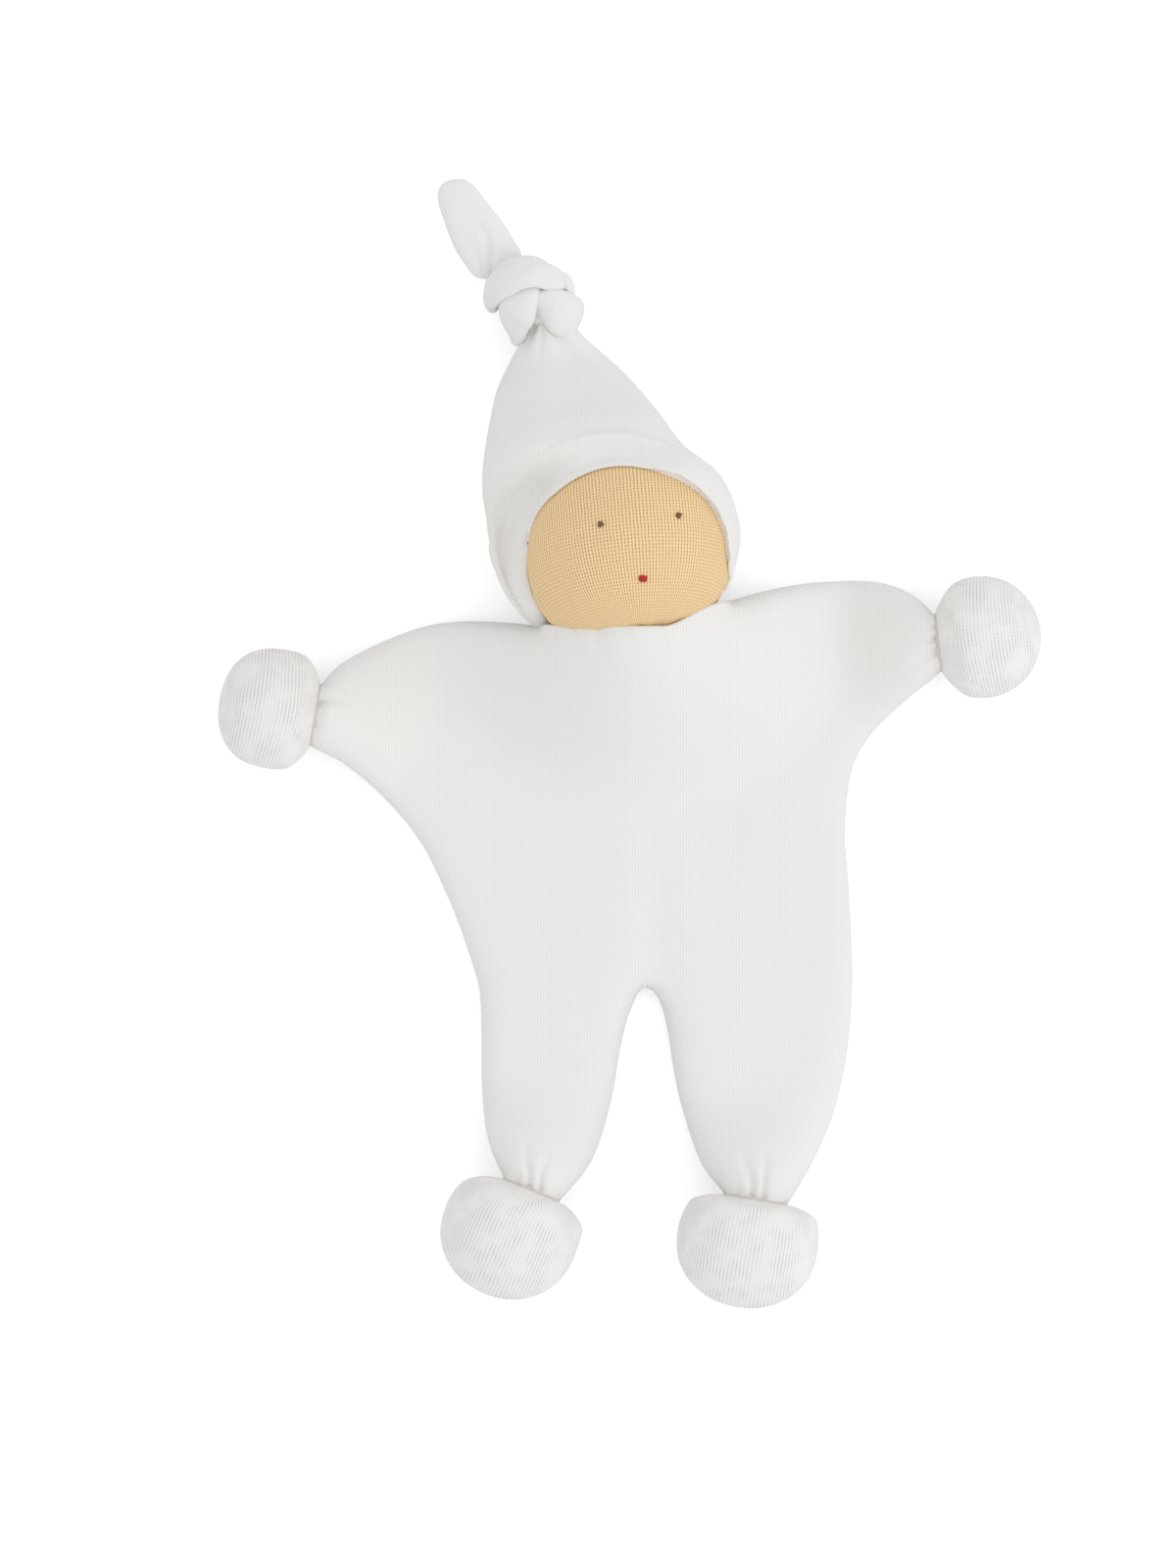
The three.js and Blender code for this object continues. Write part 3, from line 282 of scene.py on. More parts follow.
def curve(points, step=None, count=None):
    """Even points along a smooth curve through control points, at a step or as a count of steps."""
    p = np.asarray(points, float)
    p = np.vstack([2 * p[0] - p[1], p, 2 * p[-1] - p[-2]])
    knots = np.concatenate([[0.0], np.cumsum(np.linalg.norm(np.diff(p, axis=0), axis=1) ** 0.5)])
    rate = np.diff(p, axis=0) / np.diff(knots)[:, None]
    slope = rate[:-1] - (p[2:] - p[:-2]) / (knots[2:] - knots[:-2])[:, None] + rate[1:]
    s = np.linspace(0.0, 1.0, 41)[:-1, None]
    fine = []
    for i in range(1, len(p) - 2):
        width = knots[i + 1] - knots[i]
        fine.append(
            p[i] * (2 * s**3 - 3 * s**2 + 1) + slope[i - 1] * width * (s**3 - 2 * s**2 + s)
            + p[i + 1] * (3 * s**2 - 2 * s**3) + slope[i] * width * (s**3 - s**2)
        )
    fine = np.vstack(fine + [p[-2][None]])
    length = run_length(fine)
    at = np.linspace(0.0, length[-1], (count or max(2, round(length[-1] / step))) + 1)
    return np.column_stack([np.interp(at, length, fine[:, k]) for k in range(fine.shape[1])])


def nearest(points, line):
    """Distance from each point to a line of points, the nearest place on it, and the share of the way along."""
    a, d = line[:-1], np.diff(line, axis=0)
    span = np.maximum((d * d).sum(axis=1), 1e-12)
    start = np.concatenate([[0.0], np.cumsum(np.sqrt(span))])
    gap, foot, share = [], [], []
    for first in range(0, len(points), 1500):
        p = points[first:first + 1500]
        t = np.clip((((p[:, None] - a) * d).sum(axis=2)) / span, 0.0, 1.0)
        q = a + t[..., None] * d
        apart = np.linalg.norm(p[:, None] - q, axis=2)
        k = apart.argmin(axis=1)
        row = np.arange(len(p))
        gap.append(apart[row, k])
        foot.append(q[row, k])
        share.append((start[k] + t[row, k] * np.sqrt(span[k])) / start[-1])
    return np.concatenate(gap), np.vstack(foot), np.concatenate(share)


def within(points, polygon):
    """Which points lie inside a closed line of points."""
    inside = np.zeros(len(points), bool)
    x, y = points[:, 0], points[:, 1]
    for (x0, y0), (x1, y1) in zip(polygon, np.roll(polygon, -1, axis=0)):
        if y0 != y1:
            inside ^= ((y0 > y) != (y1 > y)) & (x < (x1 - x0) * (y - y0) / (y1 - y0) + x0)
    return inside


def creases(points, lines):
    """How deep the drawn-in creases are at each point seen from above."""
    depth = np.zeros(len(points))
    for line, width, deep in lines:
        gap, _, share = nearest(points, curve(line, step=0.4))
        spread = width * (1.0 + 0.9 * share)
        depth += deep * (1.0 - ease(share * 1.25 - 0.25)) * np.exp(-((gap / spread) ** 2))
    return depth


def ripple(x, y, seed, length):
    """Soft low waves with no plain repeat, from -1 to 1."""
    rng = np.random.default_rng(seed)
    total = np.zeros(np.broadcast(x, y).shape)
    for _ in range(7):
        turn = rng.uniform(0, 2 * math.pi)
        wave = 2 * math.pi / (length * rng.uniform(0.7, 1.5))
        total = total + np.sin((x * math.cos(turn) + y * math.sin(turn)) * wave + rng.uniform(0, 2 * math.pi))
    return total / 7 ** 0.5


class Surface:
    """Cloth as points in millimetres, triangles, knit coordinates, normals and a mark on cut edges."""

    def __init__(self, points, faces, knit, normal=None, rim=None):
        self.points = np.asarray(points, float)
        self.faces = np.asarray(faces, int).reshape(-1, 3)
        self.knit = np.asarray(knit, float)
        self.rim = np.zeros(len(self.points)) if rim is None else np.asarray(rim, float)
        self.normal = self.smooth_normals() if normal is None else np.asarray(normal, float)

    def smooth_normals(self):
        a, b, c = (self.points[self.faces[:, k]] for k in range(3))
        across = np.cross(b - a, c - a)
        total = np.zeros_like(self.points)
        for k in range(3):
            np.add.at(total, self.faces[:, k], across)
        return unit(total)

    def kept(self, faces, extra=()):
        """A new surface of some triangles, with points added part way along edges."""
        arrays = [self.points, self.knit, self.normal, self.rim[:, None]]
        if len(extra):
            i, j = (np.array([e[k] for e in extra], int) for k in (0, 1))
            t = np.array([e[2] for e in extra])[:, None]
            arrays = [np.vstack([rows, rows[i] * (1 - t) + rows[j] * t]) for rows in arrays]
            arrays[3][len(self.points):] = 1.0
        used, faces = np.unique(np.asarray(faces, int), return_inverse=True)
        points, knit, normal, rim = (rows[used] for rows in arrays)
        return Surface(points, faces.reshape(-1, 3), knit, unit(normal), rim[:, 0])

    def clip(self, values):
        """The part where the values are above zero."""
        values = np.where(np.abs(values) < 1e-6, 1e-6, values)
        inside = values > 0
        count = inside[self.faces].sum(axis=1)
        faces = self.faces[count == 3].tolist()
        cut, extra = {}, []
        for triangle in self.faces[(count > 0) & (count < 3)].tolist():
            ring = []
            for i, j in zip(triangle, triangle[1:] + triangle[:1]):
                if inside[i]:
                    ring.append(i)
                if inside[i] != inside[j]:
                    key = (min(i, j), max(i, j))
                    if key not in cut:
                        cut[key] = len(self.points) + len(extra)
                        share = values[key[0]] / (values[key[0]] - values[key[1]])
                        extra.append((*key, min(max(share, 0.04), 0.96)))
                    ring.append(cut[key])
            faces += [[ring[0], ring[k], ring[k + 1]] for k in range(1, len(ring) - 1)]
        return self.kept(faces, extra)

    def split(self, values):
        """The part where the values are above zero, and the rest."""
        return self.clip(values), self.clip(-values)

    def edge_chains(self, chosen):
        """Runs of open edges whose points are all among the chosen ones, each in order."""
        pairs = np.vstack([self.faces[:, [0, 1]], self.faces[:, [1, 2]], self.faces[:, [2, 0]]])
        key = np.sort(pairs, axis=1)
        _, where, count = np.unique(key, axis=0, return_index=True, return_counts=True)
        edges = pairs[where[count == 1]]
        edges = edges[chosen[edges].all(axis=1)]
        after = dict(edges.tolist())
        starts = [i for i in after if i not in set(after.values())]
        chains = []
        while after:
            i = starts.pop() if starts else next(iter(after))
            chain = [i]
            while i in after:
                i = after.pop(i)
                chain.append(i)
            chains.append(np.array(chain))
        return chains

    def rolled(self, chain, radius, goal):
        """Roll the cloth over along one open edge and lead it on behind itself to its goal."""
        closed = chain[0] == chain[-1]
        ring = chain[:-1] if closed else chain
        p, n = self.points[ring], self.normal[ring]
        before = np.roll(p, 3, axis=0) if closed else np.vstack([p[:1]] * 3 + [p[:-3]])
        after = np.roll(p, -3, axis=0) if closed else np.vstack([p[3:]] + [p[-1:]] * 3)
        way, n = unit(after - before), unit(smoothed(n, 3))
        out = unit(np.cross(way, n))
        rows = [p + radius * math.sin(a) * out - radius * (1 - math.cos(a)) * n for a in np.linspace(0.4, math.pi, 7)]
        behind = p - 2 * radius * n
        rows += [behind + (goal(behind) - behind) * share for share in (0.2, 0.4, 0.6, 0.8, 1.0)]
        count, total = len(ring), len(self.points)
        index = [ring] + [total + k * count + np.arange(count) for k in range(len(rows))]
        i = np.arange(count if closed else count - 1)
        j = (i + 1) % count
        faces = [self.faces]
        for here, there in zip(index, index[1:]):
            faces.append(np.column_stack([here[j], here[i], there[i]]))
            faces.append(np.column_stack([here[j], there[i], there[j]]))
        steps = [np.linalg.norm(b - a, axis=1).mean() for a, b in zip([p] + rows, rows)]
        knit = [self.knit[ring] + out[:, :2] * length for length in np.cumsum(steps)]
        return Surface(np.vstack([self.points] + rows), np.vstack(faces), np.vstack([self.knit] + knit))

    def joined(self, *others):
        """This surface and others as one."""
        parts = (self, *others)
        starts = np.cumsum([0] + [len(part.points) for part in parts])
        faces = [part.faces + start for part, start in zip(parts, starts)]
        points, knit, normal = (
            np.vstack([getattr(part, name) for part in parts]) for name in ("points", "knit", "normal")
        )
        return Surface(points, np.vstack(faces), knit, normal)

    def object(self, name, material):
        """The surface as an object in the scene, with its knit coordinates, normals and finish."""
        mesh = bpy.data.meshes.new(name)
        mesh.from_pydata((self.points * MM).tolist(), [], self.faces.tolist())
        layer = mesh.uv_layers.new(name="knit")
        layer.data.foreach_set("uv", self.knit[self.faces.ravel()].ravel().astype(np.float32))
        mesh.shade_smooth()
        mesh.normals_split_custom_set_from_vertices(self.normal.tolist())
        mesh.materials.append(material)
        piece = bpy.data.objects.new(name, mesh)
        bpy.context.scene.collection.objects.link(piece)
        return piece


def grid_faces(rows, columns, closed=False):
    i, j = np.meshgrid(np.arange(rows - 1), np.arange(columns if closed else columns - 1), indexing="ij")
    i, j = i.ravel(), j.ravel()
    k = (j + 1) % columns
    a, b, c, d = i * columns + j, i * columns + k, (i + 1) * columns + k, (i + 1) * columns + j
    return np.vstack([np.column_stack([a, b, c]), np.column_stack([a, c, d])])


def facing_out(points, faces, inside):
    """Triangles turned so that most face away from the place inside each."""
    a, b, c = (points[faces[:, k]] for k in range(3))
    outward = (np.cross(b - a, c - a) * ((a + b + c) / 3 - inside)).sum()
    return faces if outward > 0 else faces[:, ::-1]


def round_surface(points, rows, knit, inside, ends=()):
    """Rows of points that meet behind as one round surface, with its join smoothed over and given end normals."""
    columns = len(points) // rows
    faces = grid_faces(rows, columns)
    faces = facing_out(points, faces, np.broadcast_to(inside, (rows, 3))[faces[:, 0] // columns])
    surface = Surface(points, faces, knit)
    normal = surface.normal.reshape(rows, columns, 3)
    normal[:, 0] = normal[:, -1] = unit(normal[:, 0] + normal[:, -1])
    for row, way in ends:
        normal[row] = way
    surface.normal = normal.reshape(-1, 3)
    return surface


def two_layers(upper, lower, faces, seam, knit, knit_under):
    """A front and a back cloth that share their points on the seam."""
    free = np.flatnonzero(~seam)
    twin = np.arange(len(seam))
    twin[free] = len(seam) + np.arange(len(free))
    return Surface(
        np.vstack([upper, lower[free]]), np.vstack([faces, twin[faces][:, ::-1]]), np.vstack([knit, knit_under[free]])
    )


def doubled_areas(flat, faces):
    """Twice the area of each flat triangle, below zero for one that is turned over."""
    a, b, c = (flat[faces[:, k]] for k in range(3))
    return (b - a)[:, 0] * (c - a)[:, 1] - (b - a)[:, 1] * (c - a)[:, 0]


def flat_mesh(outline, inner):
    """Triangles over a closed outline and points inside it, all turned the same way."""
    points = np.vstack([outline, inner])
    result = delaunay_2d_cdt([Vector(p) for p in points.tolist()], [], [list(range(len(outline)))], 1, 1e-5)
    flat = np.array([v[:] for v in result[0]])
    faces = np.array(result[2])
    source = np.array([origin[0] for origin in result[3]])
    turned = doubled_areas(flat, faces) < 0
    faces[turned] = faces[turned][:, ::-1]
    return flat, faces, source


def seam_pull(flat, faces, seam, reach):
    """How much each point is held down by the seam: 1 on it, and fading over the reach."""
    count = len(flat)
    i, j, weight, mass = [], [], [], np.zeros(count)
    area = np.abs(doubled_areas(flat, faces)) / 2
    stiff = reach[faces].mean(axis=1) ** 2
    for k in range(3):
        p, q, r = faces[:, k], faces[:, (k + 1) % 3], faces[:, (k + 2) % 3]
        cot = ((flat[p] - flat[r]) * (flat[q] - flat[r])).sum(axis=1) / np.maximum(2 * area, 1e-9)
        i.append(p)
        j.append(q)
        weight.append(np.clip(0.5 * cot, 1e-4, 40.0) * stiff)
        mass += np.bincount(p, area / 3, count)
    i, j, weight = np.concatenate(i), np.concatenate(j), np.concatenate(weight)
    diagonal = mass + np.bincount(i, weight, count) + np.bincount(j, weight, count)

    def spread(x):
        return diagonal * x - np.bincount(i, weight * x[j], count) - np.bincount(j, weight * x[i], count)

    pull = seam.astype(float)
    left = -spread(pull) * ~seam
    way = left / diagonal
    size = (left * way).sum()
    for _ in range(900):
        moved = spread(way) * ~seam
        step = size / (way * moved).sum()
        pull += step * way
        left -= step * moved
        ready = left / diagonal
        new = (left * ready).sum()
        if new < 1e-12 * count:
            break
        way = ready + way * (new / size)
        size = new
    return np.clip(pull, 0.0, 1.0)


def cloth_points(outline, sewn, fine_near, step):
    """Points inside an outline: rings along the sewn edge, then an even lattice, finer near some places."""
    loop = np.vstack([outline, outline[:1]])
    inward = np.column_stack([np.diff(loop[:, 1]), -np.diff(loop[:, 0])])
    inward = unit(inward + np.roll(inward, 1, axis=0))
    if not within(outline[:1] + inward[:1] * 0.05, outline)[0]:
        inward = -inward

    # rings beside the seam, where the padding curves most, left out where another stretch of edge is close
    rings = []
    for depth in (0.12, 0.4, 0.9, 1.6, 2.5):
        points = (outline + inward * depth)[sewn]
        gap, _, _ = nearest(points, loop)
        rings.append(points[(gap > depth * 0.86) & within(points, outline)])

    # a lattice of even triangles, with every point kept near some places and a quarter of them elsewhere
    low, high = outline.min(axis=0), outline.max(axis=0)
    lattice = []
    for n, y in enumerate(np.arange(low[1], high[1], step * 0.866 / 2)):
        xs = np.arange(low[0] + (n % 2) * step / 4, high[0], step / 2)
        coarse = ((np.arange(len(xs)) + (n // 2 % 2)) % 2 == 0) & (n % 2 == 0)
        lattice.append(np.column_stack([xs, np.full(len(xs), y), coarse]))
    lattice = np.vstack(lattice)
    keep = lattice[:, 2] > 0
    for place, reach in fine_near:
        keep |= np.linalg.norm(lattice[:, :2] - np.array(place), axis=1) < reach
    lattice = lattice[keep, :2]
    lattice = lattice[within(lattice, outline)]
    gap, foot, _ = nearest(lattice, loop)
    spot = np.argmin(np.linalg.norm(foot[:, None] - outline[None, ::4], axis=2), axis=1) * 4
    lattice = lattice[gap > np.where(sewn[spot], 3.1, 0.35)]
    return np.vstack(rings + [lattice])


class Wire:
    """One socket in a node tree; arithmetic on it adds Math nodes."""

    def __init__(self, graph, socket):
        self.graph = graph
        self.socket = socket

    def math(self, operation, *values):
        return self.graph.node("ShaderNodeMath", {"operation": operation}, dict(enumerate(values)))

    def __add__(self, other):
        return self.math("ADD", self, other)

    __radd__ = __add__

    def __sub__(self, other):
        return self.math("SUBTRACT", self, other)

    def __rsub__(self, other):
        return self.math("SUBTRACT", other, self)

    def __mul__(self, other):
        return self.math("MULTIPLY", self, other)

    __rmul__ = __mul__

    def output(self, key):
        """Another output of the same node."""
        return Wire(self.graph, self.socket.node.outputs[key])

    def fract(self):
        return self.math("FRACT", self)

    def absolute(self):
        return self.math("ABSOLUTE", self)

    def sine(self):
        return self.math("SINE", self)

    def steps(self, low, high):
        """A soft step from 0 at low to 1 at high."""
        return self.graph.node("ShaderNodeMapRange", {"interpolation_type": "SMOOTHSTEP"}, {0: self, 1: low, 2: high})


class Graph:
    """A material's node tree, with one way to add any node."""

    def __init__(self, name):
        self.material = bpy.data.materials.new(name)
        self.material.use_nodes = True
        self.tree = self.material.node_tree
        self.tree.nodes.clear()

    def node(self, kind, settings, values, output=0):
        """Add a node: its settings first, then the values or links of its sockets."""
        node = self.tree.nodes.new(kind)
        for name, value in settings.items():
            setattr(node, name, value)
        for key, value in values.items():
            if isinstance(value, Wire):
                self.tree.links.new(value.socket, node.inputs[key])
            else:
                node.inputs[key].default_value = value
        return Wire(self, node.outputs[output] if node.outputs else None)

    def blend(self, share, first, second):
        """A colour between two colours."""
        first, second = (c if isinstance(c, Wire) else (*c, 1.0) for c in (first, second))
        return self.node("ShaderNodeMix", {"data_type": "RGBA"}, {0: share, 6: first, 7: second}, 2)

    def noise(self, vector, scale, detail):
        return self.node(
            "ShaderNodeTexNoise", {}, {"Vector": vector, "Scale": scale, "Detail": detail, "Roughness": 0.55}
        )

    def knit(self, wale, course):
        """Knit coordinates in mm, slanting strands, the grooves between ribs, and the cleft down each rib."""
        place = self.node("ShaderNodeUVMap", {"uv_map": "knit"}, {})
        across = self.node("ShaderNodeSeparateXYZ", {}, {0: place})
        along = across.output(1) * (1.0 / course)
        across = across * (1.0 / wale) + (self.noise(place, 0.35, 3.0) - 0.5) * RIB_WANDER
        side = (across.fract() - 0.5).absolute() * 2
        strand = ((along + side * STRAND_LEAN) * (2 * math.pi)).sine() * 0.5 + 0.5
        return place, strand, side.steps(0.4, 0.95), 1 - side.steps(0.0, 0.3)

    def surface(self, values):
        shader = self.node("ShaderNodeBsdfPrincipled", {}, values)
        self.node("ShaderNodeOutputMaterial", {}, {0: shader})
        return self.material


def knitted(name, colour, shade, wale, course, dots, relief, blotch=0.04, fuzz=0.5, patchy=0.0):
    """A knitted finish: ribs of strands, painted shade in the gaps between them from lines (dots 0) to dots (1), soft
    blotches, and relief.
    """
    if name in bpy.data.materials:
        return bpy.data.materials[name]
    graph = Graph(name)
    colour = tuple(colour)
    place, strand, groove, cleft = graph.knit(wale, course)
    gap = 1 - strand
    # painted shade: the grooves between ribs and the holes between stitches are darkened in colour, and the same mask
    # sinks the bump
    gap_shade_and_depth = groove * ((1.0 - dots) + gap * dots) + cleft * gap * 0.3
    cloud = graph.noise(graph.node("ShaderNodeTexCoord", {}, {}, 3), 60.0, 3.0)
    fluff = graph.noise(place, 3.2, 3.0)
    if patchy:
        gap_shade_and_depth = gap_shade_and_depth * (graph.noise(place, 0.16, 2.0).steps(0.35, 0.65) * patchy + (1 - patchy))
    # the colour of the painted shade in the gaps
    deep = tuple(c * s for c, s in zip(colour, shade))
    strands = graph.blend((gap_shade_and_depth + (fluff - 0.5) * fuzz).steps(0.05, 0.95), colour, deep)
    cloudy = graph.blend((cloud - 0.5).absolute() * (blotch * 6), strands, tuple(c * 0.9 for c in colour))
    bump = graph.node(
        "ShaderNodeBump", {}, {"Strength": 0.55, "Distance": relief, "Height": fluff * 0.35 - gap_shade_and_depth}
    )
    return graph.surface({
        "Base Color": cloudy, "Roughness": 0.86 + fluff * 0.12, "Normal": bump, "Specular IOR Level": 0.15,
        "Sheen Weight": 0.06, "Sheen Roughness": 0.5,
    })


def twisted(name, colour, shade, pitch, relief):
    """A thread finish: plies that twist round along the thread, with painted shade between them."""
    if name in bpy.data.materials:
        return bpy.data.materials[name]
    graph = Graph(name)
    place = graph.node("ShaderNodeUVMap", {"uv_map": "knit"}, {})
    along = graph.node("ShaderNodeSeparateXYZ", {}, {0: place})
    ply = ((along * (1.0 / pitch) + along.output(1) * 2.0) * (2 * math.pi)).sine() * 0.5 + 0.5
    fibre = graph.noise(place, 6.0, 2.0)
    # painted shade: the grooves between the plies are darkened in colour
    colours = graph.blend((ply * 0.8 + fibre * 0.3).steps(0.05, 0.8), shade, colour)
    bump = graph.node("ShaderNodeBump", {}, {"Strength": 0.6, "Distance": relief, "Height": ply + fibre * 0.3})
    return graph.surface({
        "Base Color": colours, "Roughness": 0.7 + fibre * 0.2, "Normal": bump, "Specular IOR Level": 0.25,
    })


def tube(path, radius, sides=10):
    """A round strand along a path, closed at its ends; the radius is a number or one value per point."""
    path = np.asarray(path, float)
    radius = np.broadcast_to(np.asarray(radius, float), len(path)).copy()
    radius[[0, -1]] = 0.01
    side = np.cross(unit(path[1] - path[0]), [0.3, 0.2, 1.0])
    turn = np.linspace(0, 2 * math.pi, sides + 1)
    rings = []
    for p, w, r in zip(path, unit(np.gradient(path, axis=0)), radius):
        side = side - w * (side @ w)
        side = side / np.linalg.norm(side)
        rings.append(p + r * (np.cos(turn)[:, None] * side + np.sin(turn)[:, None] * np.cross(w, side)))
    round_it = np.tile(np.linspace(0, 1, sides + 1), len(path))
    knit = np.column_stack([np.repeat(run_length(path), sides + 1), round_it])
    return round_surface(np.vstack(rings), len(path), knit, path)


class TieFrame:
    """Places round one tie: along the limb, across it and up."""

    def __init__(self, name):
        tie = TIES[name]
        self.centre = np.array([*tie["at"], tie["z"]])
        self.out = unit(np.array([*tie["out"], 0.0]))
        self.across = np.array([-self.out[1], self.out[0], 0.0])
        self.half, self.ball, self.shape = tie["half"], tie["ball"], tie["shape"]

    def point(self, along, side, up):
        along, side, up = (np.asarray(v, float)[..., None] for v in (along, side, up))
        return self.centre + along * self.out + side * self.across + up * np.array([0.0, 0.0, 1.0])

    def end(self, side):
        return self.point(-0.15, side * self.half, 0.0)[:2]


FRAMES = {name: TieFrame(name) for name in TIES}


def body_outline():
    """The closed outline of the body cloth, with which of its points are sewn and which belong to the neckline."""
    right_hand, left_hand, right_foot, left_foot = FRAMES.values()
    stretches = [
        ([right_hand.end(-1), *RIGHT_SHOULDER], "sewn"),
        (NECKLINE, "neck"),
        ([*LEFT_SHOULDER, left_hand.end(1)], "sewn"),
        ([left_hand.end(1), left_hand.end(-1)], "tie"),
        ([left_hand.end(-1), *LEFT_SIDE, left_foot.end(1)], "sewn"),
        ([left_foot.end(1), left_foot.end(-1)], "tie"),
        ([left_foot.end(-1), *CROTCH, right_foot.end(1)], "sewn"),
        ([right_foot.end(1), right_foot.end(-1)], "tie"),
        ([right_foot.end(-1), *RIGHT_SIDE, right_hand.end(1)], "sewn"),
        ([right_hand.end(1), right_hand.end(-1)], "tie"),
    ]
    points, kinds = [], []
    for line, kind in stretches:
        run = curve(line, step=0.9 if kind == "sewn" else 0.45)[:-1]
        points.append(run)
        kinds += ["sewn"] + [kind] * (len(run) - 1)
    return np.vstack(points), np.array(kinds)


def body_cloth(high, crown):
    """The whole body cloth as one surface, front and back joined at the seam."""
    outline, kinds = body_outline()
    sewn = kinds == "sewn"
    beside_neck = (np.roll(kinds, -1) == "neck") | (np.roll(kinds, 1) == "neck")
    fine = [(tie["at"], 17.0) for tie in TIES.values()] + [((-6.0, 37.0), 17.0), ((8.0, 38.0), 14.0)]
    flat, faces, source = flat_mesh(outline, cloth_points(outline, sewn, fine, 1.3))
    on_line = source < len(outline)
    seam, neck_edge = np.zeros((2, len(flat)), bool)
    seam[on_line] = sewn[source[on_line]]
    neck_edge[on_line] = ((kinds == "neck") | (sewn & beside_neck))[source[on_line]]

    x, y = flat[:, 0], flat[:, 1]
    from_neck = np.hypot((x - HEAD[0] * 0.3) * 0.92, np.maximum(0.0, NECK_Y - y))
    neck = 1 - ease(from_neck / NECK_REACH)
    neck_back = 1 - ease(from_neck / NECK_BACK_REACH)
    ties = list(FRAMES.values())
    drawn = np.array([1 - ease(np.hypot(x - tie.centre[0], y - tie.centre[1]) / TIE_REACH) for tie in ties])
    draw, which = drawn.max(axis=0), drawn.argmax(axis=0)
    centre, out, across, tie_half = (
        np.array([getattr(tie, part) for tie in ties])[which] for part in ("centre", "out", "across", "half")
    )
    tie_z = centre[:, 2]
    pull = seam_pull(flat, faces, seam, 0.42 * (crown + (NECK_CROWN - crown) * neck + (tie_half - crown) * draw))
    inside = 1 - pull**2
    drawn_up = np.maximum(neck, draw)

    # the back lies flat, and both layers rise to the neck and the ties
    top = 2 * high + (HEAD[2] + NECK_HALF_HEIGHT - 2 * high) * neck
    back = (HEAD[2] - NECK_HALF_HEIGHT) * neck_back
    half = (top - back) / 2 + (TIE_HALF_HEIGHT - high) * draw
    fall = half - half * np.sqrt(np.clip(inside, 0.0, 1.0))
    share = 0.55 + 0.45 * drawn_up
    base = back + (tie_z - TIE_HALF_HEIGHT) * draw
    below = base + share * fall
    above = base + 2 * half - (2 - share) * fall

    # fine pleats at the ties, and the drawn creases
    step = flat - centre[:, :2]
    along = -(step * out[:, :2]).sum(axis=1)
    side = (step * across[:, :2]).sum(axis=1)
    fade = (1 - ease(along / 13)) * inside
    wave = np.cos(2 * math.pi * side / (3.1 * (1 + np.maximum(0, along) / 14)) + ripple(x, y, 5, 9) * 0.6)
    above = above + 0.07 * wave * fade - 0.85 * creases(flat, CREASES) * inside
    below = below + 0.3 * np.cos(2 * math.pi * side / 3.4 + 1.0) * fade

    # gathers below the neckline, and its lip
    under = 35.0 - y
    gathers = (1 - ease(under / 9)) * neck**2 * inside
    above = above + 0.13 * gathers * np.sin(2 * math.pi * (x + 0.25 * y) / 5.6 + ripple(x, y, 8, 12))
    above = above + 0.25 * np.exp(-(((under - 1.8) / 1.7) ** 2)) * np.exp(-(((x + 2.0) / 12.0) ** 2))

    # a hollow up from between the legs, the seam's ridge inside the left edge, soft swells, a ridge down the middle
    above = above - 0.75 * np.exp(-(((x - 1.0 + 0.03 * y) / 4.6) ** 2)) * ease((-8 - y) / 20) * inside
    above = above + 0.16 * np.exp(-(((x - 42.4) / 0.45) ** 2)) * ease((-5 - y) / 8) * ease((y + 42) / 10)
    above = above + inside * (1 - drawn_up * 0.5) * (0.24 * ripple(x, y, 1, 34) + 0.05 * ripple(x, y, 2, 16))
    from_ridge = np.minimum(np.sqrt((x + 5) ** 2 + 16), 42.0)
    above = above + (1.3 - 0.06 * from_ridge) * ease((y + 72) / 34) * (1 - drawn_up) * inside

    # the back rests on the table, and both layers meet at the seam
    below = np.logaddexp(below * 6, 0.12) / 6 - 0.02
    middle = base + share * half
    above = np.where(seam, middle, np.maximum(above, middle + 0.02))
    below = np.where(seam, middle, np.clip(below, 0.0, np.maximum(middle - 0.02, 0.0)))
    pinch = np.exp(-((along / 1.7) ** 2)) * (draw > 0.5)
    shifted = flat - across[:, :2] * (0.02 * pinch * side)[:, None]
    upper, lower = (np.column_stack([shifted, z - 0.2 * pinch * (z - tie_z)]) for z in (above, below))

    _, foot, _ = nearest(flat, np.vstack([outline, outline[:1]]))
    knit = flat + unit(foot - flat + 1e-9) * (0.75 * fall * (1 - neck * 0.6))[:, None]
    surface = two_layers(upper, lower, faces, seam, knit, knit * (-1, 1))
    for chain in surface.edge_chains(np.concatenate([neck_edge, neck_edge[~seam]])):
        if len(chain) > 20:
            surface = surface.rolled(chain, 0.55, lambda p: p + unit(HEAD + (0, -9, 0) - p) * 3.0)
    return surface


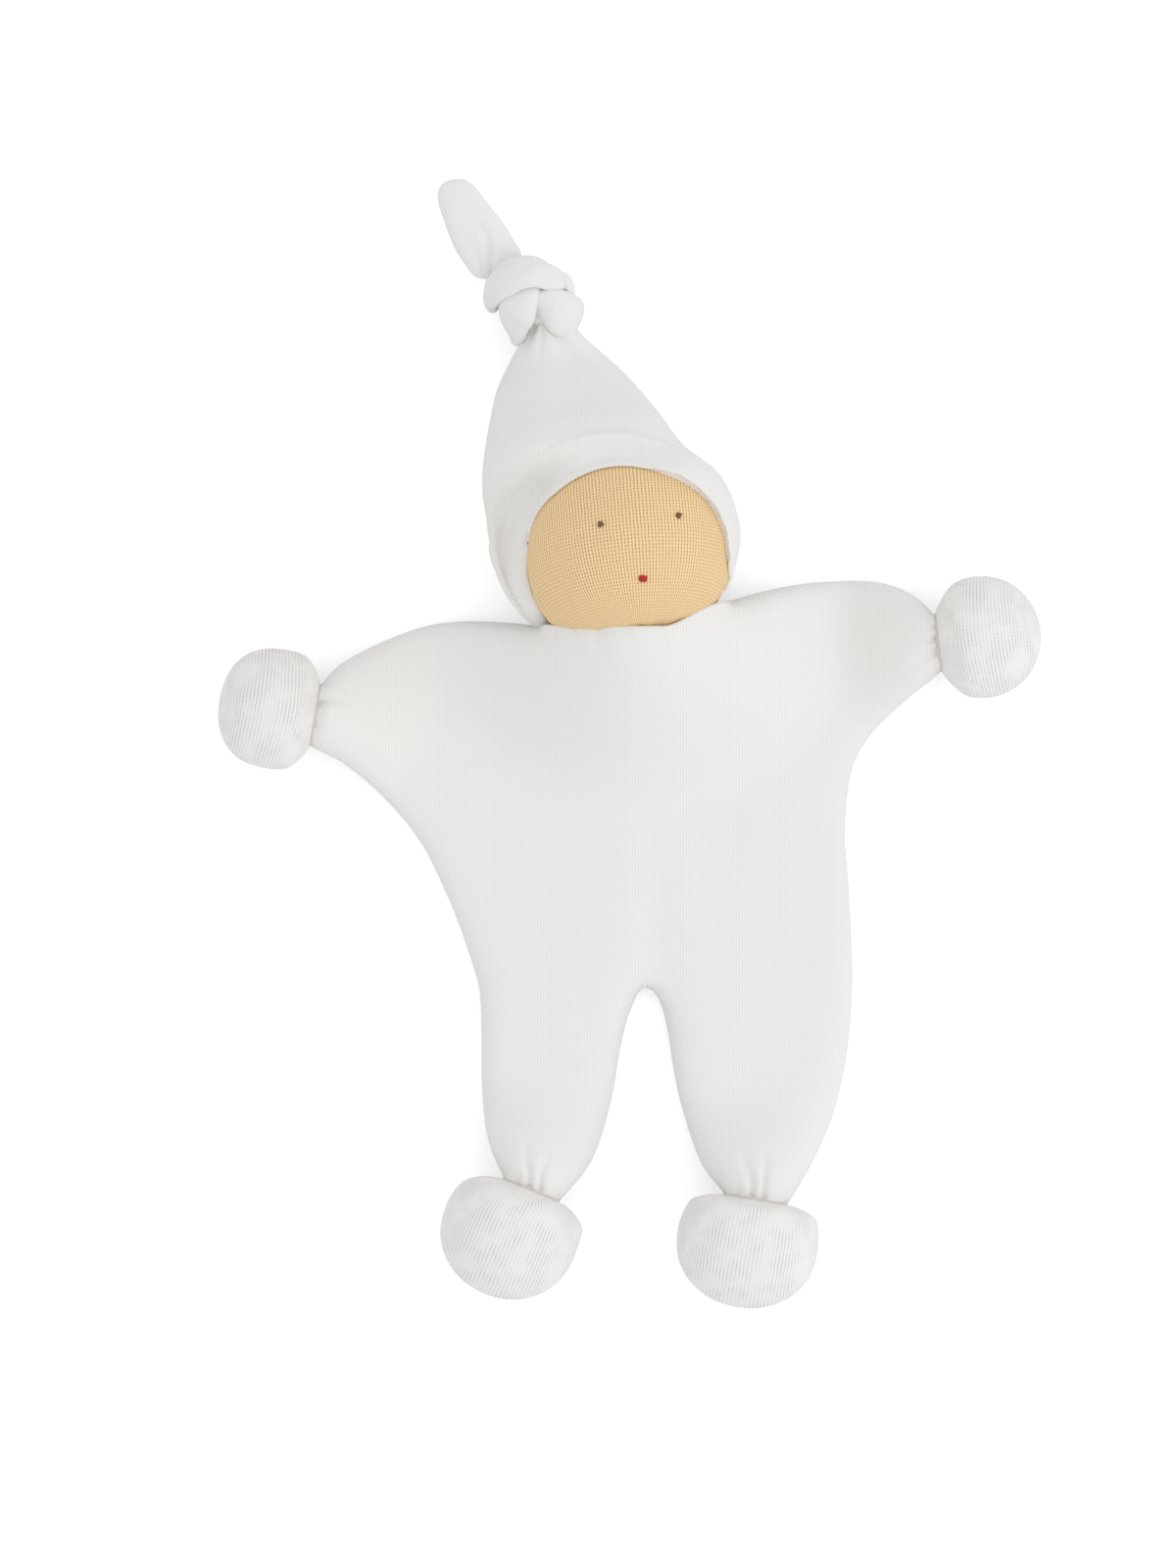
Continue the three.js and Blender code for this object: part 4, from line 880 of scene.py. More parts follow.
def hood_shape():
    """The closed tube of the hood, as a grid of points from the chin to the knot."""
    rings, around = 150, 200
    right, left = curve(HOOD_RIGHT, count=rings), curve(HOOD_LEFT, count=rings)
    share = np.linspace(0.0, 1.0, rings + 1)
    stops = curve([(n * 10.0, h) for n, h in enumerate(HOOD_HALF_HEIGHTS)], count=400)
    half = np.interp(share * 10 * (len(HOOD_HALF_HEIGHTS) - 1), stops[:, 0], stops[:, 1])
    middle_z = np.minimum(HEAD[2], half + 0.4)
    middle_z = middle_z + (HOOD_TIP_Z - middle_z) * ease((share - 0.8) / 0.14)
    turn = np.linspace(0, 2 * math.pi, around, endpoint=False)
    bend = 2 / (2.3 - 0.25 * ease((share - 0.6) / 0.3))
    cos, sin = (squared_off(wave, bend[:, None]) for wave in (np.cos(turn), np.sin(turn)))
    centre = (right + left) / 2
    reach = (left - right) / 2
    points = np.zeros((rings + 1, around, 3))
    points[..., :2] = centre[:, None] + reach[:, None] * cos[..., None]
    points[..., 2] = middle_z[:, None] + half[:, None] * sin
    points = points.reshape(-1, 3)
    away = points - HEAD
    gap = np.linalg.norm(away, axis=1)
    shell = HEAD_RADIUS + HOOD_CLOTH
    pushed = shell + np.logaddexp((gap - shell) / 0.3, 0.0) * 0.3
    points = HEAD + away * (np.where(gap < shell + 4, pushed, gap) / gap)[:, None]
    points[:, 2] = np.maximum(points[:, 2], 0.05)
    grid = points.reshape(rings + 1, around, 3)
    lengths = np.linalg.norm(np.diff(np.concatenate([grid, grid[:, :1]], axis=1), axis=1), axis=2)
    whole = np.concatenate([np.zeros((rings + 1, 1)), np.cumsum(lengths, axis=1)], axis=1)[:, :-1]
    top = around // 4
    arc = whole[:, [top]] - whole
    knit = np.column_stack([(grid[:, [top], 0] + arc).ravel(), grid[:, :, 1].ravel()])
    faces = facing_out(points, grid_faces(rings + 1, around, closed=True), points.mean(axis=0))
    return Surface(points, faces, knit)


def opening_side(points):
    """Above zero outside the face opening, below zero inside it, in millimetres seen from above."""
    line = curve(FACE_OPENING, step=0.6)
    wave = 0.08 * np.sin(np.arange(len(line)) * 0.6 / 0.9) * ease((line[:, 0] + 12) / 20)
    line = line + unit(line - np.array([-4.0, 50.0])) * wave[:, None]
    polygon = np.vstack([line, [(18.0, 20.0), (-20.0, 20.0)]])
    gap, _, _ = nearest(points[:, :2], polygon)
    sign = np.where(within(points[:, :2], polygon), -1.0, 1.0)
    return np.where(points[:, 2] > HEAD[2] - 2, gap * sign, np.maximum(gap, 3.0))


def hood_pieces(width, rise):
    """The hood's cloth and its brim, both lowered round the face so that the opening lies on the head."""
    shape = hood_shape()
    cut = shape.clip(opening_side(shape.points))
    rim = max(cut.edge_chains(cut.rim > 0.5), key=len)
    points = cut.points.copy()
    gap, foot, along = nearest(points, points[rim])

    # the height at which the rim would lie on the head
    lying = HEAD_RADIUS + HOOD_CLOTH + 0.3
    out = np.linalg.norm(points[rim, :2] - HEAD[:2], axis=1)
    rest = HEAD[2] + np.sqrt(np.maximum(lying**2 - out**2, 0.0)) - 0.8 * np.maximum(out - lying, 0.0)
    rest = np.interp(along, np.linspace(0, 1, len(rim)), smoothed(rest, 16))

    # lower the cloth to it, less and less away from the rim, and most at the right corner under the chin
    share = np.clip((rest - HOOD_LOW) / np.maximum(foot[:, 2] - HOOD_LOW, 1.0), 0.0, 1.0)
    share = share + (1 - share) * ease(gap / 19)
    start = np.array([HOOD_RIGHT[0], HOOD_LEFT[0]])
    line = unit(start[1] - start[0])
    into = (points[:, :2] - start[0]) @ np.array([-line[1], line[0]])
    right_side = points[:, 0] < HEAD[0]
    dive = np.where(right_side, 0.15 + 0.85 * ease((into + 1) / 9), 1.0)
    points[:, 2] -= np.maximum(points[:, 2] - HOOD_LOW, 0.0) * (1 - share * dive)

    # keep the right side under a low slope away from the rim, and let it settle
    level = rest + 0.12 * gap + 24 * ease((gap - 9) / 16) + 30 * ease((points[:, 0] - HEAD[0] + 18) / 10)
    points[:, 2] = -np.logaddexp(-points[:, 2], -level)
    aside = np.linalg.norm(points[:, :2] - foot[:, :2], axis=1)
    room = 15.0 - 0.2 * aside
    settled = HOOD_SIDE_LOW + room * (1 - np.exp(-np.maximum(points[:, 2] - HOOD_SIDE_LOW, 0.0) / room))
    down = ease(aside / 5) * (1 - ease((points[:, 1] - 60) / 18)) * (1 - ease((points[:, 0] - HEAD[0] + 20) / 10))
    points[:, 2] += (settled - points[:, 2]) * down * (points[:, 2] > HOOD_SIDE_LOW)

    # nowhere closer to the head than the cloth's thickness
    away = points - HEAD
    far = np.linalg.norm(away, axis=1)
    thin = np.where(right_side, 1.0, 0.3 + 0.7 * ease(into / 14))
    points = HEAD + away * (np.maximum(far, HEAD_RADIUS + HOOD_CLOTH * thin) / far)[:, None]
    cut = Surface(points, cut.faces, cut.knit, rim=cut.rim)
    normal = cut.normal

    # the brim is the band beside the rim, raised up to a rounded fold, and rolled in at the opening
    gap, _, _ = nearest(points, points[rim])
    gap = gap + 0.15 * ripple(points[:, 0], points[:, 1], 4, 24)
    from_fold = gap - width + 1.1
    raised = rise * (1 - ease(from_fold / 1.3)) + 0.25 * np.exp(-((from_fold / 0.6) ** 2))
    raised = np.where(gap > width, raised - 0.9 * ease((gap - width) / 0.7), raised * thin)
    brim_shape = Surface(points + normal * raised[:, None], cut.faces, cut.knit, rim=cut.rim)
    brim = brim_shape.clip(width + 0.6 - gap)
    brim_gap, _, _ = nearest(brim.points, brim_shape.points[rim])
    for chain in brim.edge_chains((brim.rim > 0.5) & (brim_gap < 1.0)):
        if len(chain) > 12:
            brim = brim.rolled(chain, 0.5, lambda p: HEAD + unit(p - HEAD) * (HEAD_RADIUS + 0.02))

    # the cloth behind it has creases towards the knot, soft swells and a dip beside the brim
    x, y, z = points.T
    sunk = creases(points[:, :2], HOOD_CREASES) * (z > np.interp(y, [90, 106], [14, 6]))
    soft = 0.32 * ripple(x + z * 0.3, y, 6, 26)
    soft = soft + 0.05 * ripple(x, y + z * 0.3, 7, 11)
    drape = -0.4 * np.exp(-(((gap - width - 2.2) / 2.2) ** 2))
    swell = (soft + drape - sunk) * ease((gap - width + 3) / 4)
    cloth = Surface(points + normal * swell[:, None], cut.faces, cut.knit, rim=cut.rim)
    return cloth.clip(gap - width + 0.4), brim


def ball_surface(name):
    """The stuffed ball beyond one tie, gathered where it is tied."""
    tie = FRAMES[name]
    along, across, up, centre = tie.ball
    power, round_over, aside = tie.shape
    rows, columns = 110, 150

    # the shape from the gathered opening to the far end, with a few rows turned in at the opening
    opening, start_side, start_up = 0.25, tie.half - 0.35, TIE_HALF_HEIGHT - 1.25
    start = math.acos(min(1.0, (centre - opening) / along) ** (1 / power))
    angle = start + (math.pi - start) * np.linspace(0, 1, rows - 4) ** 1.25
    wide = squared_off(np.sin(angle), power)
    at = centre - along * squared_off(np.cos(angle), power)
    rounding = np.sqrt(1 - (1 - np.clip((at - opening) / round_over, 0, 1)) ** 2)
    inward = np.array([1.0, 0.6, 0.25, 0.08])
    sides = np.concatenate([start_side - 0.8 * inward, start_side + (across * wide - start_side) * rounding])
    ups = np.concatenate([start_up - 0.8 * inward, start_up + (up * wide - start_up) * rounding])
    ats = np.concatenate([opening - 0.9 * inward, at])
    ats[-1], sides[-1], ups[-1] = centre + along, 0.0, 0.0

    # pleats that fade out from the tie, and soft lumps
    turn = np.linspace(0, 2 * math.pi, columns + 1)
    rng = np.random.default_rng(sum(ord(letter) for letter in name))
    phase = rng.uniform(0, 6.28, 3)
    reach = np.concatenate([[0.0], np.cumsum(np.hypot(np.diff(ats), np.diff(sides)))])
    fade = np.exp(-np.maximum(0, reach - 1.2) / 2.2)
    pleat = np.sin(19 * turn + phase[0]) + 0.6 * np.sin(12 * turn + phase[1]) + 0.4 * np.sin(31 * turn + phase[2])
    swell = 1 - 0.016 * fade[:, None] * (pleat + 1.0)
    swell = swell + 0.006 * ripple(reach[:, None] * 0.8, np.sin(turn) * 12, 11, 18) * ease(reach / 6)[:, None]
    points = tie.point(
        np.repeat(ats, columns + 1).reshape(rows, -1),
        sides[:, None] * swell * np.cos(turn) + aside * ease(ats / 9)[:, None],
        ups[:, None] * swell * np.sin(turn),
    ).reshape(-1, 3)
    points[:, 2] = np.maximum(points[:, 2], 0.15)

    s = sides[:, None] * np.cos(turn)
    if name.endswith("hand"):
        # wales run across the limb, courses along it
        bow = reach[:, None] - 0.035 * s**2 * np.exp(-reach[:, None] / 9)
        knit = np.column_stack([bow.ravel(), (13 * np.arcsin(np.clip(s / 14.5, -1, 1))).ravel()])
    else:
        # wales fan out from the tie and run on round the ball
        fan = across * np.arcsin(np.clip(np.cos(turn) * np.ones((rows, 1)), -1, 1))
        straight = across * np.arcsin(np.clip(s / (across + 0.3), -1, 1))
        mix = ease((reach - 2) / 16)[:, None]
        knit = np.column_stack([(fan * (1 - mix) + straight * mix).ravel(), np.repeat(reach, columns + 1)])
    return round_surface(points, rows, knit, tie.point(centre, 0, 0), [(-1, tie.out)])


def tie_thread(name, radius):
    """The thread wound round one tie, as one strand."""
    tie = FRAMES[name]
    angle = np.linspace(-0.5 * math.pi, (TIE_TURNS * 2 - 0.5) * math.pi, 220)
    phase = np.random.default_rng(len(name)).uniform(0, 6)
    sway = 0.06 * np.sin(angle * 3 + phase) + 0.036 * np.sin(angle * 7)
    path = tie.point(
        -0.25 + 0.75 * np.linspace(0, 1, 220) + sway,
        (tie.half - 0.3) * np.cos(angle),
        (TIE_HALF_HEIGHT - 1.15) * np.sin(angle),
    )
    return tube(path, radius)


def head_surface():
    """The knitted head ball, drawn together under the chin."""
    rows, columns = 130, 240
    axis = unit(GATHER_AXIS)
    right = unit(np.cross([0.0, 0.0, 1.0], axis))
    front = np.cross(axis, right)
    if right[0] < 0:
        right = -right
    if front[2] < 0:
        front = -front

    # pleats at the gather, and a fuller cheek low on the right side
    polar = np.linspace(0.0, math.pi, rows)
    turn = np.linspace(-math.pi, math.pi, columns + 1)
    near_pole = np.exp(-polar / 0.24)
    pleat = 0.5 * np.sin(23 * turn) + 0.5 * np.sin(15 * turn + 1) + 0.3 * np.sin(37 * turn + 2)
    radius = HEAD_RADIUS * (1 - 0.03 * near_pole[:, None] * (1 + pleat) * ease(polar / 0.12)[:, None])
    radius = radius * (1 - 0.06 * np.exp(-(polar / 0.1) ** 2))[:, None]
    way = (
        np.sin(polar)[:, None, None] * (np.sin(turn)[:, None] * right + np.cos(turn)[:, None] * front)
        + np.cos(polar)[:, None, None] * axis
    )
    cheek = np.arccos(np.clip(way @ unit(np.array([-0.74, -0.67, 0.0])), -1, 1)) / math.radians(40)
    radius = radius + 2.3 * np.exp(-(cheek**2)) * ease((HEAD[1] + radius * way[..., 1] - 32) / 6)
    points = (HEAD + radius[..., None] * way).reshape(-1, 3)
    up = points[:, 2] > HEAD[2]
    for place in [*EYES, MOUTH]:
        gap = np.linalg.norm(points[:, :2] - place, axis=1)
        points[:, 2] -= 0.3 * np.exp(-((gap / 1.5) ** 2)) * up

    # ribs run straight up the front of the upper half, and fan out from the gather elsewhere
    local = way.reshape(-1, 3)
    sideways = HEAD_RADIUS * np.arcsin(np.clip((local @ right), -1, 1))
    round_ = HEAD_RADIUS * np.tile(turn, rows)
    facing = (local @ front) > 0
    lower = (local @ axis) > 0
    across = np.where(lower | ~facing, round_, sideways)
    knit = np.column_stack([across, HEAD_RADIUS * np.repeat(polar, columns + 1)])
    return round_surface(points, rows, knit, HEAD, [(0, axis), (-1, -axis)])


def on_face(x, y, lift):
    """The place on the head ball below a point seen from above, lifted off it."""
    dx, dy = x - HEAD[0], y - HEAD[1]
    dz = math.sqrt(HEAD_RADIUS**2 - dx * dx - dy * dy)
    way = np.array([dx, dy, dz]) / HEAD_RADIUS
    return HEAD + way * (HEAD_RADIUS + lift)


def stitches(place, strands, radius, turn=0):
    """A few strands sewn over one spot of the face, all turned by some degrees."""
    parts = []
    share = np.linspace(-1, 1, 15)
    for angle, half, shift in strands:
        angle = math.radians(angle + turn)
        way = np.array([math.cos(angle), math.sin(angle)])
        spots = np.array(place) + share[:, None] * way * half + np.array([-way[1], way[0]]) * shift
        lifts = -0.45 + (0.5 + radius * 0.3) * (1 - share**4)
        path = [on_face(*spot, lift) for spot, lift in zip(spots, lifts)]
        parts.append(tube(path, radius * (0.8 + 0.2 * (1 - share**2)), 9))
    return parts[0].joined(*parts[1:])


def wrap_surface(stops, thick):
    """One padded wrap of the knot, lying round its middle."""
    line = curve([stop[:3] for stop in stops], count=70)
    wide = curve([(n * 3.0, stop[3]) for n, stop in enumerate(stops)], count=70)[:, 1]
    way = unit(np.gradient(line, axis=0))
    out = unit(line - KNOT_MIDDLE)
    out = unit(out - way * (out * way).sum(axis=1)[:, None])
    side = np.cross(way, out)
    turn = np.linspace(0, 2 * math.pi, 49)
    cos, sin = squared_off(np.cos(turn), 0.85), squared_off(np.sin(turn), 0.9)
    share = np.linspace(0, 1, len(line))
    closing = np.sqrt(np.clip(1 - np.clip(1 - np.minimum(share, 1 - share) / 0.06, 0, 1) ** 2, 0.0004, 1))
    bow = 0.10 * np.cos(turn) ** 2
    across, up = (wide * closing)[:, None] * cos, closing[:, None] * (thick * sin - wide[:, None] * bow)
    points = (line[:, None] + side[:, None] * across[..., None] + out[:, None] * up[..., None]).reshape(-1, 3)
    wave = 0.12 * ripple(points[:, 0] + points[:, 2], points[:, 1], 12, 7)
    points = points + wave[:, None] * np.repeat(out, len(turn), axis=0)
    points[:, 2] = np.maximum(points[:, 2], 0.3)
    knit = np.column_stack([np.outer(wide, turn - math.pi / 2).ravel(), np.repeat(run_length(line), len(turn))])
    return round_surface(points, len(line), knit, line)


def tail_surface():
    """The free end beyond the knot: a flat padded tube with folds that run out of the knot."""
    outline = curve(np.array(TAIL_OUTLINE + TAIL_OUTLINE[:1]), step=0.55)[:-1]
    inner = cloth_points(outline, np.ones(len(outline), bool), [((-37.0, 122.0), 30.0)], 1.1)
    flat, faces, source = flat_mesh(outline, inner)
    x, y = flat.T
    seam = source < len(outline)
    pull = seam_pull(flat, faces, seam, np.full(len(flat), 2.0))
    inside = 1 - pull**2
    height = TAIL_HALF_HEIGHT * (1 - 0.25 * ease((y - 118) / 16)) * np.sqrt(np.clip(inside, 0, 1))
    base = TAIL_Z + 0.5 * ripple(x, y, 21, 22)
    above = base + height - creases(flat, TAIL_CREASES) * inside + 0.10 * ripple(x, y, 22, 8) * inside
    upper, lower = (np.column_stack([flat, z]) for z in (above, base - height))
    knit = np.column_stack([flat @ (0.90, 0.44), flat @ (-0.44, 0.90)])
    return two_layers(upper, lower, faces, seam, knit, knit)


class DollClothSettings(bpy.types.PropertyGroup):
    """Sizes and colour of the white cloth"""

    colour: bpy.props.FloatVectorProperty(
        name="Cloth colour", description="Colour of the strands of the white cloth", subtype="COLOR",
        default=(0.85, 0.845, 0.83), min=0, max=1,
    )
    wale: bpy.props.FloatProperty(
        name="Wale width", description="Width of one knitted column of the white cloth",
        default=0.00063, unit="LENGTH", subtype="DISTANCE", precision=5, min=0.0003,
    )
    loft: bpy.props.FloatProperty(
        name="Padding", description="Half the height of the padded body", default=0.0037, unit="LENGTH",
        subtype="DISTANCE", precision=4, min=0.001,
    )
    crown: bpy.props.FloatProperty(
        name="Crown width", description="How far in from the seam the padding keeps rising", default=0.013,
        unit="LENGTH", subtype="DISTANCE", precision=4, min=0.003,
    )
    brim: bpy.props.FloatProperty(
        name="Brim width", description="Width of the hood's turned brim along the cloth",
        default=BRIM_WIDTH * MM, unit="LENGTH", subtype="DISTANCE", precision=4, min=0.003,
    )
    rise: bpy.props.FloatProperty(
        name="Brim rise", description="How far the brim stands above the hood", default=0.0005, unit="LENGTH",
        subtype="DISTANCE", precision=5, min=0.0,
    )


class DollHeadSettings(bpy.types.PropertyGroup):
    """Sizes and colours of the head and its threads"""

    colour: bpy.props.FloatVectorProperty(
        name="Head colour", description="Colour of the strands of the head's knit", subtype="COLOR",
        default=(0.92, 0.69, 0.395), min=0, max=1,
    )
    wale: bpy.props.FloatProperty(
        name="Wale width", description="Width of one knitted column of the head",
        default=2 * math.pi * HEAD_RADIUS / 180 * MM, unit="LENGTH", subtype="DISTANCE", precision=5, min=0.0003,
    )
    thread: bpy.props.FloatProperty(
        name="Thread radius", description="Radius of the tying threads", default=0.00018, unit="LENGTH",
        subtype="DISTANCE", precision=5, min=0.0001,
    )
    eye_colour: bpy.props.FloatVectorProperty(
        name="Eye colour", description="Colour of the eye stitches", subtype="COLOR",
        default=(0.24, 0.14, 0.075), min=0, max=1,
    )
    mouth_colour: bpy.props.FloatVectorProperty(
        name="Mouth colour", description="Colour of the mouth stitch", subtype="COLOR",
        default=(0.62, 0.05, 0.04), min=0, max=1,
    )


class DollStageSettings(bpy.types.PropertyGroup):
    """Light, floor and camera"""

    lamp: bpy.props.FloatProperty(
        name="Lamp power", description="Power of the large soft lamp", default=6.0, unit="POWER", min=0.0,
    )
    sky: bpy.props.FloatProperty(
        name="Sky strength", description="Even light from all round", default=0.895, min=0.0,
    )
    height: bpy.props.FloatProperty(
        name="Camera height", description="Height of the camera above the table", default=8.0, unit="LENGTH",
        subtype="DISTANCE", min=0.5,
    )


def cloth_material():
    settings = bpy.context.scene.doll_cloth
    # the second colour is the painted shade in the gaps between ribs
    return knitted(
        "white_knit", settings.colour, (0.90, 0.90, 0.90), settings.wale / MM, course=0.63, dots=0.3, relief=0.00006,
    )


def ball_material():
    """The same cloth stretched over a ball, so that its ribs stand wider apart."""
    settings = bpy.context.scene.doll_cloth
    # the second colour is the painted shade in the gaps between ribs
    return knitted(
        "stretched_white_knit", settings.colour, (0.72, 0.72, 0.72), settings.wale * 1.35 / MM, course=0.8,
        dots=0.35, relief=0.00012, fuzz=1.0, patchy=0.6,
    )


def skin_material():
    settings = bpy.context.scene.doll_head
    wale = settings.wale / MM
    # the second colour is the painted shade in the holes between stitches
    return knitted(
        "tan_stockinette", settings.colour, (0.46, 0.31, 0.17), wale, course=wale, dots=0.65, relief=0.00014,
        blotch=0.03, fuzz=1.1,
    )


def tie_material():
    # the second colour is the painted shade between the plies
    return twisted("tie_thread", (0.76, 0.73, 0.70), (0.58, 0.52, 0.47), 0.5, 0.00006)


def stitch_material(name, colour, shade, pitch):
    # shade darkens the colour into the painted shade between the plies
    return twisted(name, tuple(colour), tuple(c * shade for c in colour), pitch, 0.00008)


def cloth_piece(name, surface, ride=None, join=None, replaces=(), material=None):
    """Make a piece with its finish, let it ride on a body or bake its place into its points, and hide the solids that
    it stands for.
    """
    piece = surface.object(name, material or cloth_material())
    if join:
        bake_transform(piece)
    else:
        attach(piece, ride)
    if replaces:
        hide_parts(*replaces)


class DOLL_OT_body(bpy.types.Operator):
    """Make the padded body cloth: torso, collar, arms, legs and their gathered ends"""

    bl_idname = "doll.body"
    bl_label = "Body cloth"

    def execute(self, context):
        settings = context.scene.doll_cloth
        rest = body_cloth(settings.loft / MM, settings.crown / MM)
        joints = {joint["name"]: joint for joint in frame["joints"]}
        for end, limb in LIMBS.items():
            tie = FRAMES[end]
            kind = "shoulder" if limb.endswith("arm") else "hip"
            joint = joints[f"{limb.split('_')[0]}_{kind}_fold"]
            hinge = np.array(joint["pos_m"]) / MM
            axis = np.array(joint["axis"])
            out = np.array([axis[1], -axis[0], 0.0])
            if out @ (tie.centre - hinge) < 0:
                out = -out
            values = (rest.points - hinge) @ out
            if kind == "hip":
                side = 1 if limb.startswith("left") else -1
                values = np.where((rest.points[:, 0] + 0.4) * side < -0.6, -np.abs(values) - 1, values)
            part, rest = rest.split(values)
            gather, part = part.split((part.points - tie.centre) @ tie.out + GATHER_LENGTH)
            cloth_piece(
                f"{limb}_cloth", part, join=("torso", limb, hinge, hinge + out * LIMB_FOLD),
                replaces=(f"{limb}_front", f"{limb}_back", f"{limb}_wool"),
            )
            start = tie.centre - tie.out * GATHER_LENGTH
            cloth_piece(f"{end}_gather", gather, join=(limb, end, start, tie.centre - tie.out * 0.2))

        shoulders = []
        for (name, corner), side in zip(SHOULDER_CORNERS.items(), (-1, 1)):
            foot = np.array([COLLAR_HALF_WIDTH * side, COLLAR_LOW])
            way = unit(np.array(corner) - foot) * side
            normal = np.array([-way[1], way[0]])
            outside = rest.points[:, 0] * side - COLLAR_HALF_WIDTH
            part, rest = rest.split(np.minimum(outside, (rest.points[:, :2] - foot) @ normal))
            shoulders.append((name, part, foot, normal))
        collar, rest = rest.split(
            np.minimum(rest.points[:, 1] - COLLAR_LOW, COLLAR_HALF_WIDTH - np.abs(rest.points[:, 0]))
        )
        cloth_piece(
            "collar_cloth", collar,
            join=("torso", "neck", (0, COLLAR_LOW, COLLAR_Z), (0, COLLAR_LOW + COLLAR_FOLD, COLLAR_Z)),
            replaces=("collar_front", "collar_back"),
        )
        for name, part, foot, normal in shoulders:
            start = np.array([*foot, SHOULDER_Z])
            end = start + np.array([*normal, 0.0]) * COLLAR_FOLD * normal[1]
            cloth_piece(f"{name}_shoulder_cloth", part, join=("torso", "neck", start, end))
        cloth_piece(
            "torso_cloth", rest, ride="torso", replaces=("torso_front", "torso_back", "torso_wool"),
        )
        return {"FINISHED"}


class DOLL_OT_balls(bpy.types.Operator):
    """Make the stuffed hands and feet, and the threads that tie them off"""

    bl_idname = "doll.balls"
    bl_label = "Hands and feet"

    def execute(self, context):
        radius = context.scene.doll_head.thread / MM
        for name in TIES:
            cloth_piece(
                f"{name}_ball", ball_surface(name), ride=name, replaces=(f"{name}_cover", f"{name}_wool"),
                material=ball_material(),
            )
            cloth_piece(
                f"{name}_thread", tie_thread(name, radius), ride=name, replaces=(f"{name}_tie",),
                material=tie_material(),
            )
        return {"FINISHED"}


class DOLL_OT_head(bpy.types.Operator):
    """Make the knitted head, its neck thread, and the stitches of the face"""

    bl_idname = "doll.head"
    bl_label = "Head"

    def execute(self, context):
        settings = context.scene.doll_head
        cloth_piece(
            "head_knit", head_surface(), ride="head", replaces=("head_cover", "head_wool"),
            material=skin_material(),
        )
        angle = np.linspace(0, NECK_THREAD["turns"] * 2 * math.pi, 200)
        path = np.column_stack([
            HEAD[0] + NECK_THREAD["radius"] * np.cos(angle),
            NECK_THREAD["y"] + NECK_THREAD["length"] * np.linspace(0, 1, 200),
            HEAD[2] + NECK_THREAD["radius"] * np.sin(angle),
        ])
        cloth_piece(
            "neck_thread", tube(path, settings.thread / MM), ride="head", replaces=("neck_tie",),
            material=tie_material(),
        )
        eye = stitch_material("eye_stitching", settings.eye_colour, 0.4, 0.5)
        mouth = stitch_material("mouth_stitching", settings.mouth_colour, 0.45, 0.6)
        for name, place, turn in (("right_eye", EYES[0], 0), ("left_eye", EYES[1], 35)):
            cloth_piece(
                f"{name}_strands", stitches(place, EYE_STRANDS, EYE_STRAND_RADIUS, turn), ride="head",
                replaces=(f"{name}_stitch",), material=eye,
            )
        cloth_piece(
            "mouth_strands", stitches(MOUTH, MOUTH_STRANDS, MOUTH_STRAND_RADIUS), ride="head",
            replaces=("mouth_stitch",), material=mouth,
        )
        return {"FINISHED"}


class DOLL_OT_hood(bpy.types.Operator):
    """Make the hood and its turned brim"""

    bl_idname = "doll.hood"
    bl_label = "Hood"

    def execute(self, context):
        settings = context.scene.doll_cloth
        cloth, brim = hood_pieces(settings.brim / MM, settings.rise / MM)
        cloth_piece(
            "hood_cloth", cloth, join=("head", "tip", HOOD_FOLD - HOOD_FOLD_WAY * 9, HOOD_FOLD + HOOD_FOLD_WAY * 2),
            replaces=("hood",),
        )
        cloth_piece("hood_brim", brim, ride="head", replaces=("hood_hem",))
        return {"FINISHED"}


class DOLL_OT_knot(bpy.types.Operator):
    """Make the knot in the hood's tip and the free end beyond it"""

    bl_idname = "doll.knot"
    bl_label = "Knot"

    def execute(self, context):
        core = tube(curve(KNOT_CORE, count=40), np.interp(np.linspace(0, 1, 41), *KNOT_RADII), 60)
        core.points[:, 2] = np.maximum(core.points[:, 2], 0.6)
        first, *others = (wrap_surface(stops, thick) for stops, thick in WRAPS)
        cloth_piece("knot_cloth", first.joined(*others, core), ride="tip", replaces=("tip_knot",))
        cloth_piece(
            "tail_cloth", tail_surface(),
            join=("tip", "tail", TAIL_FOLD - TAIL_WAY * 2.5, TAIL_FOLD + TAIL_WAY * 2.0),
            replaces=("tip_tail",),
        )
        return {"FINISHED"}


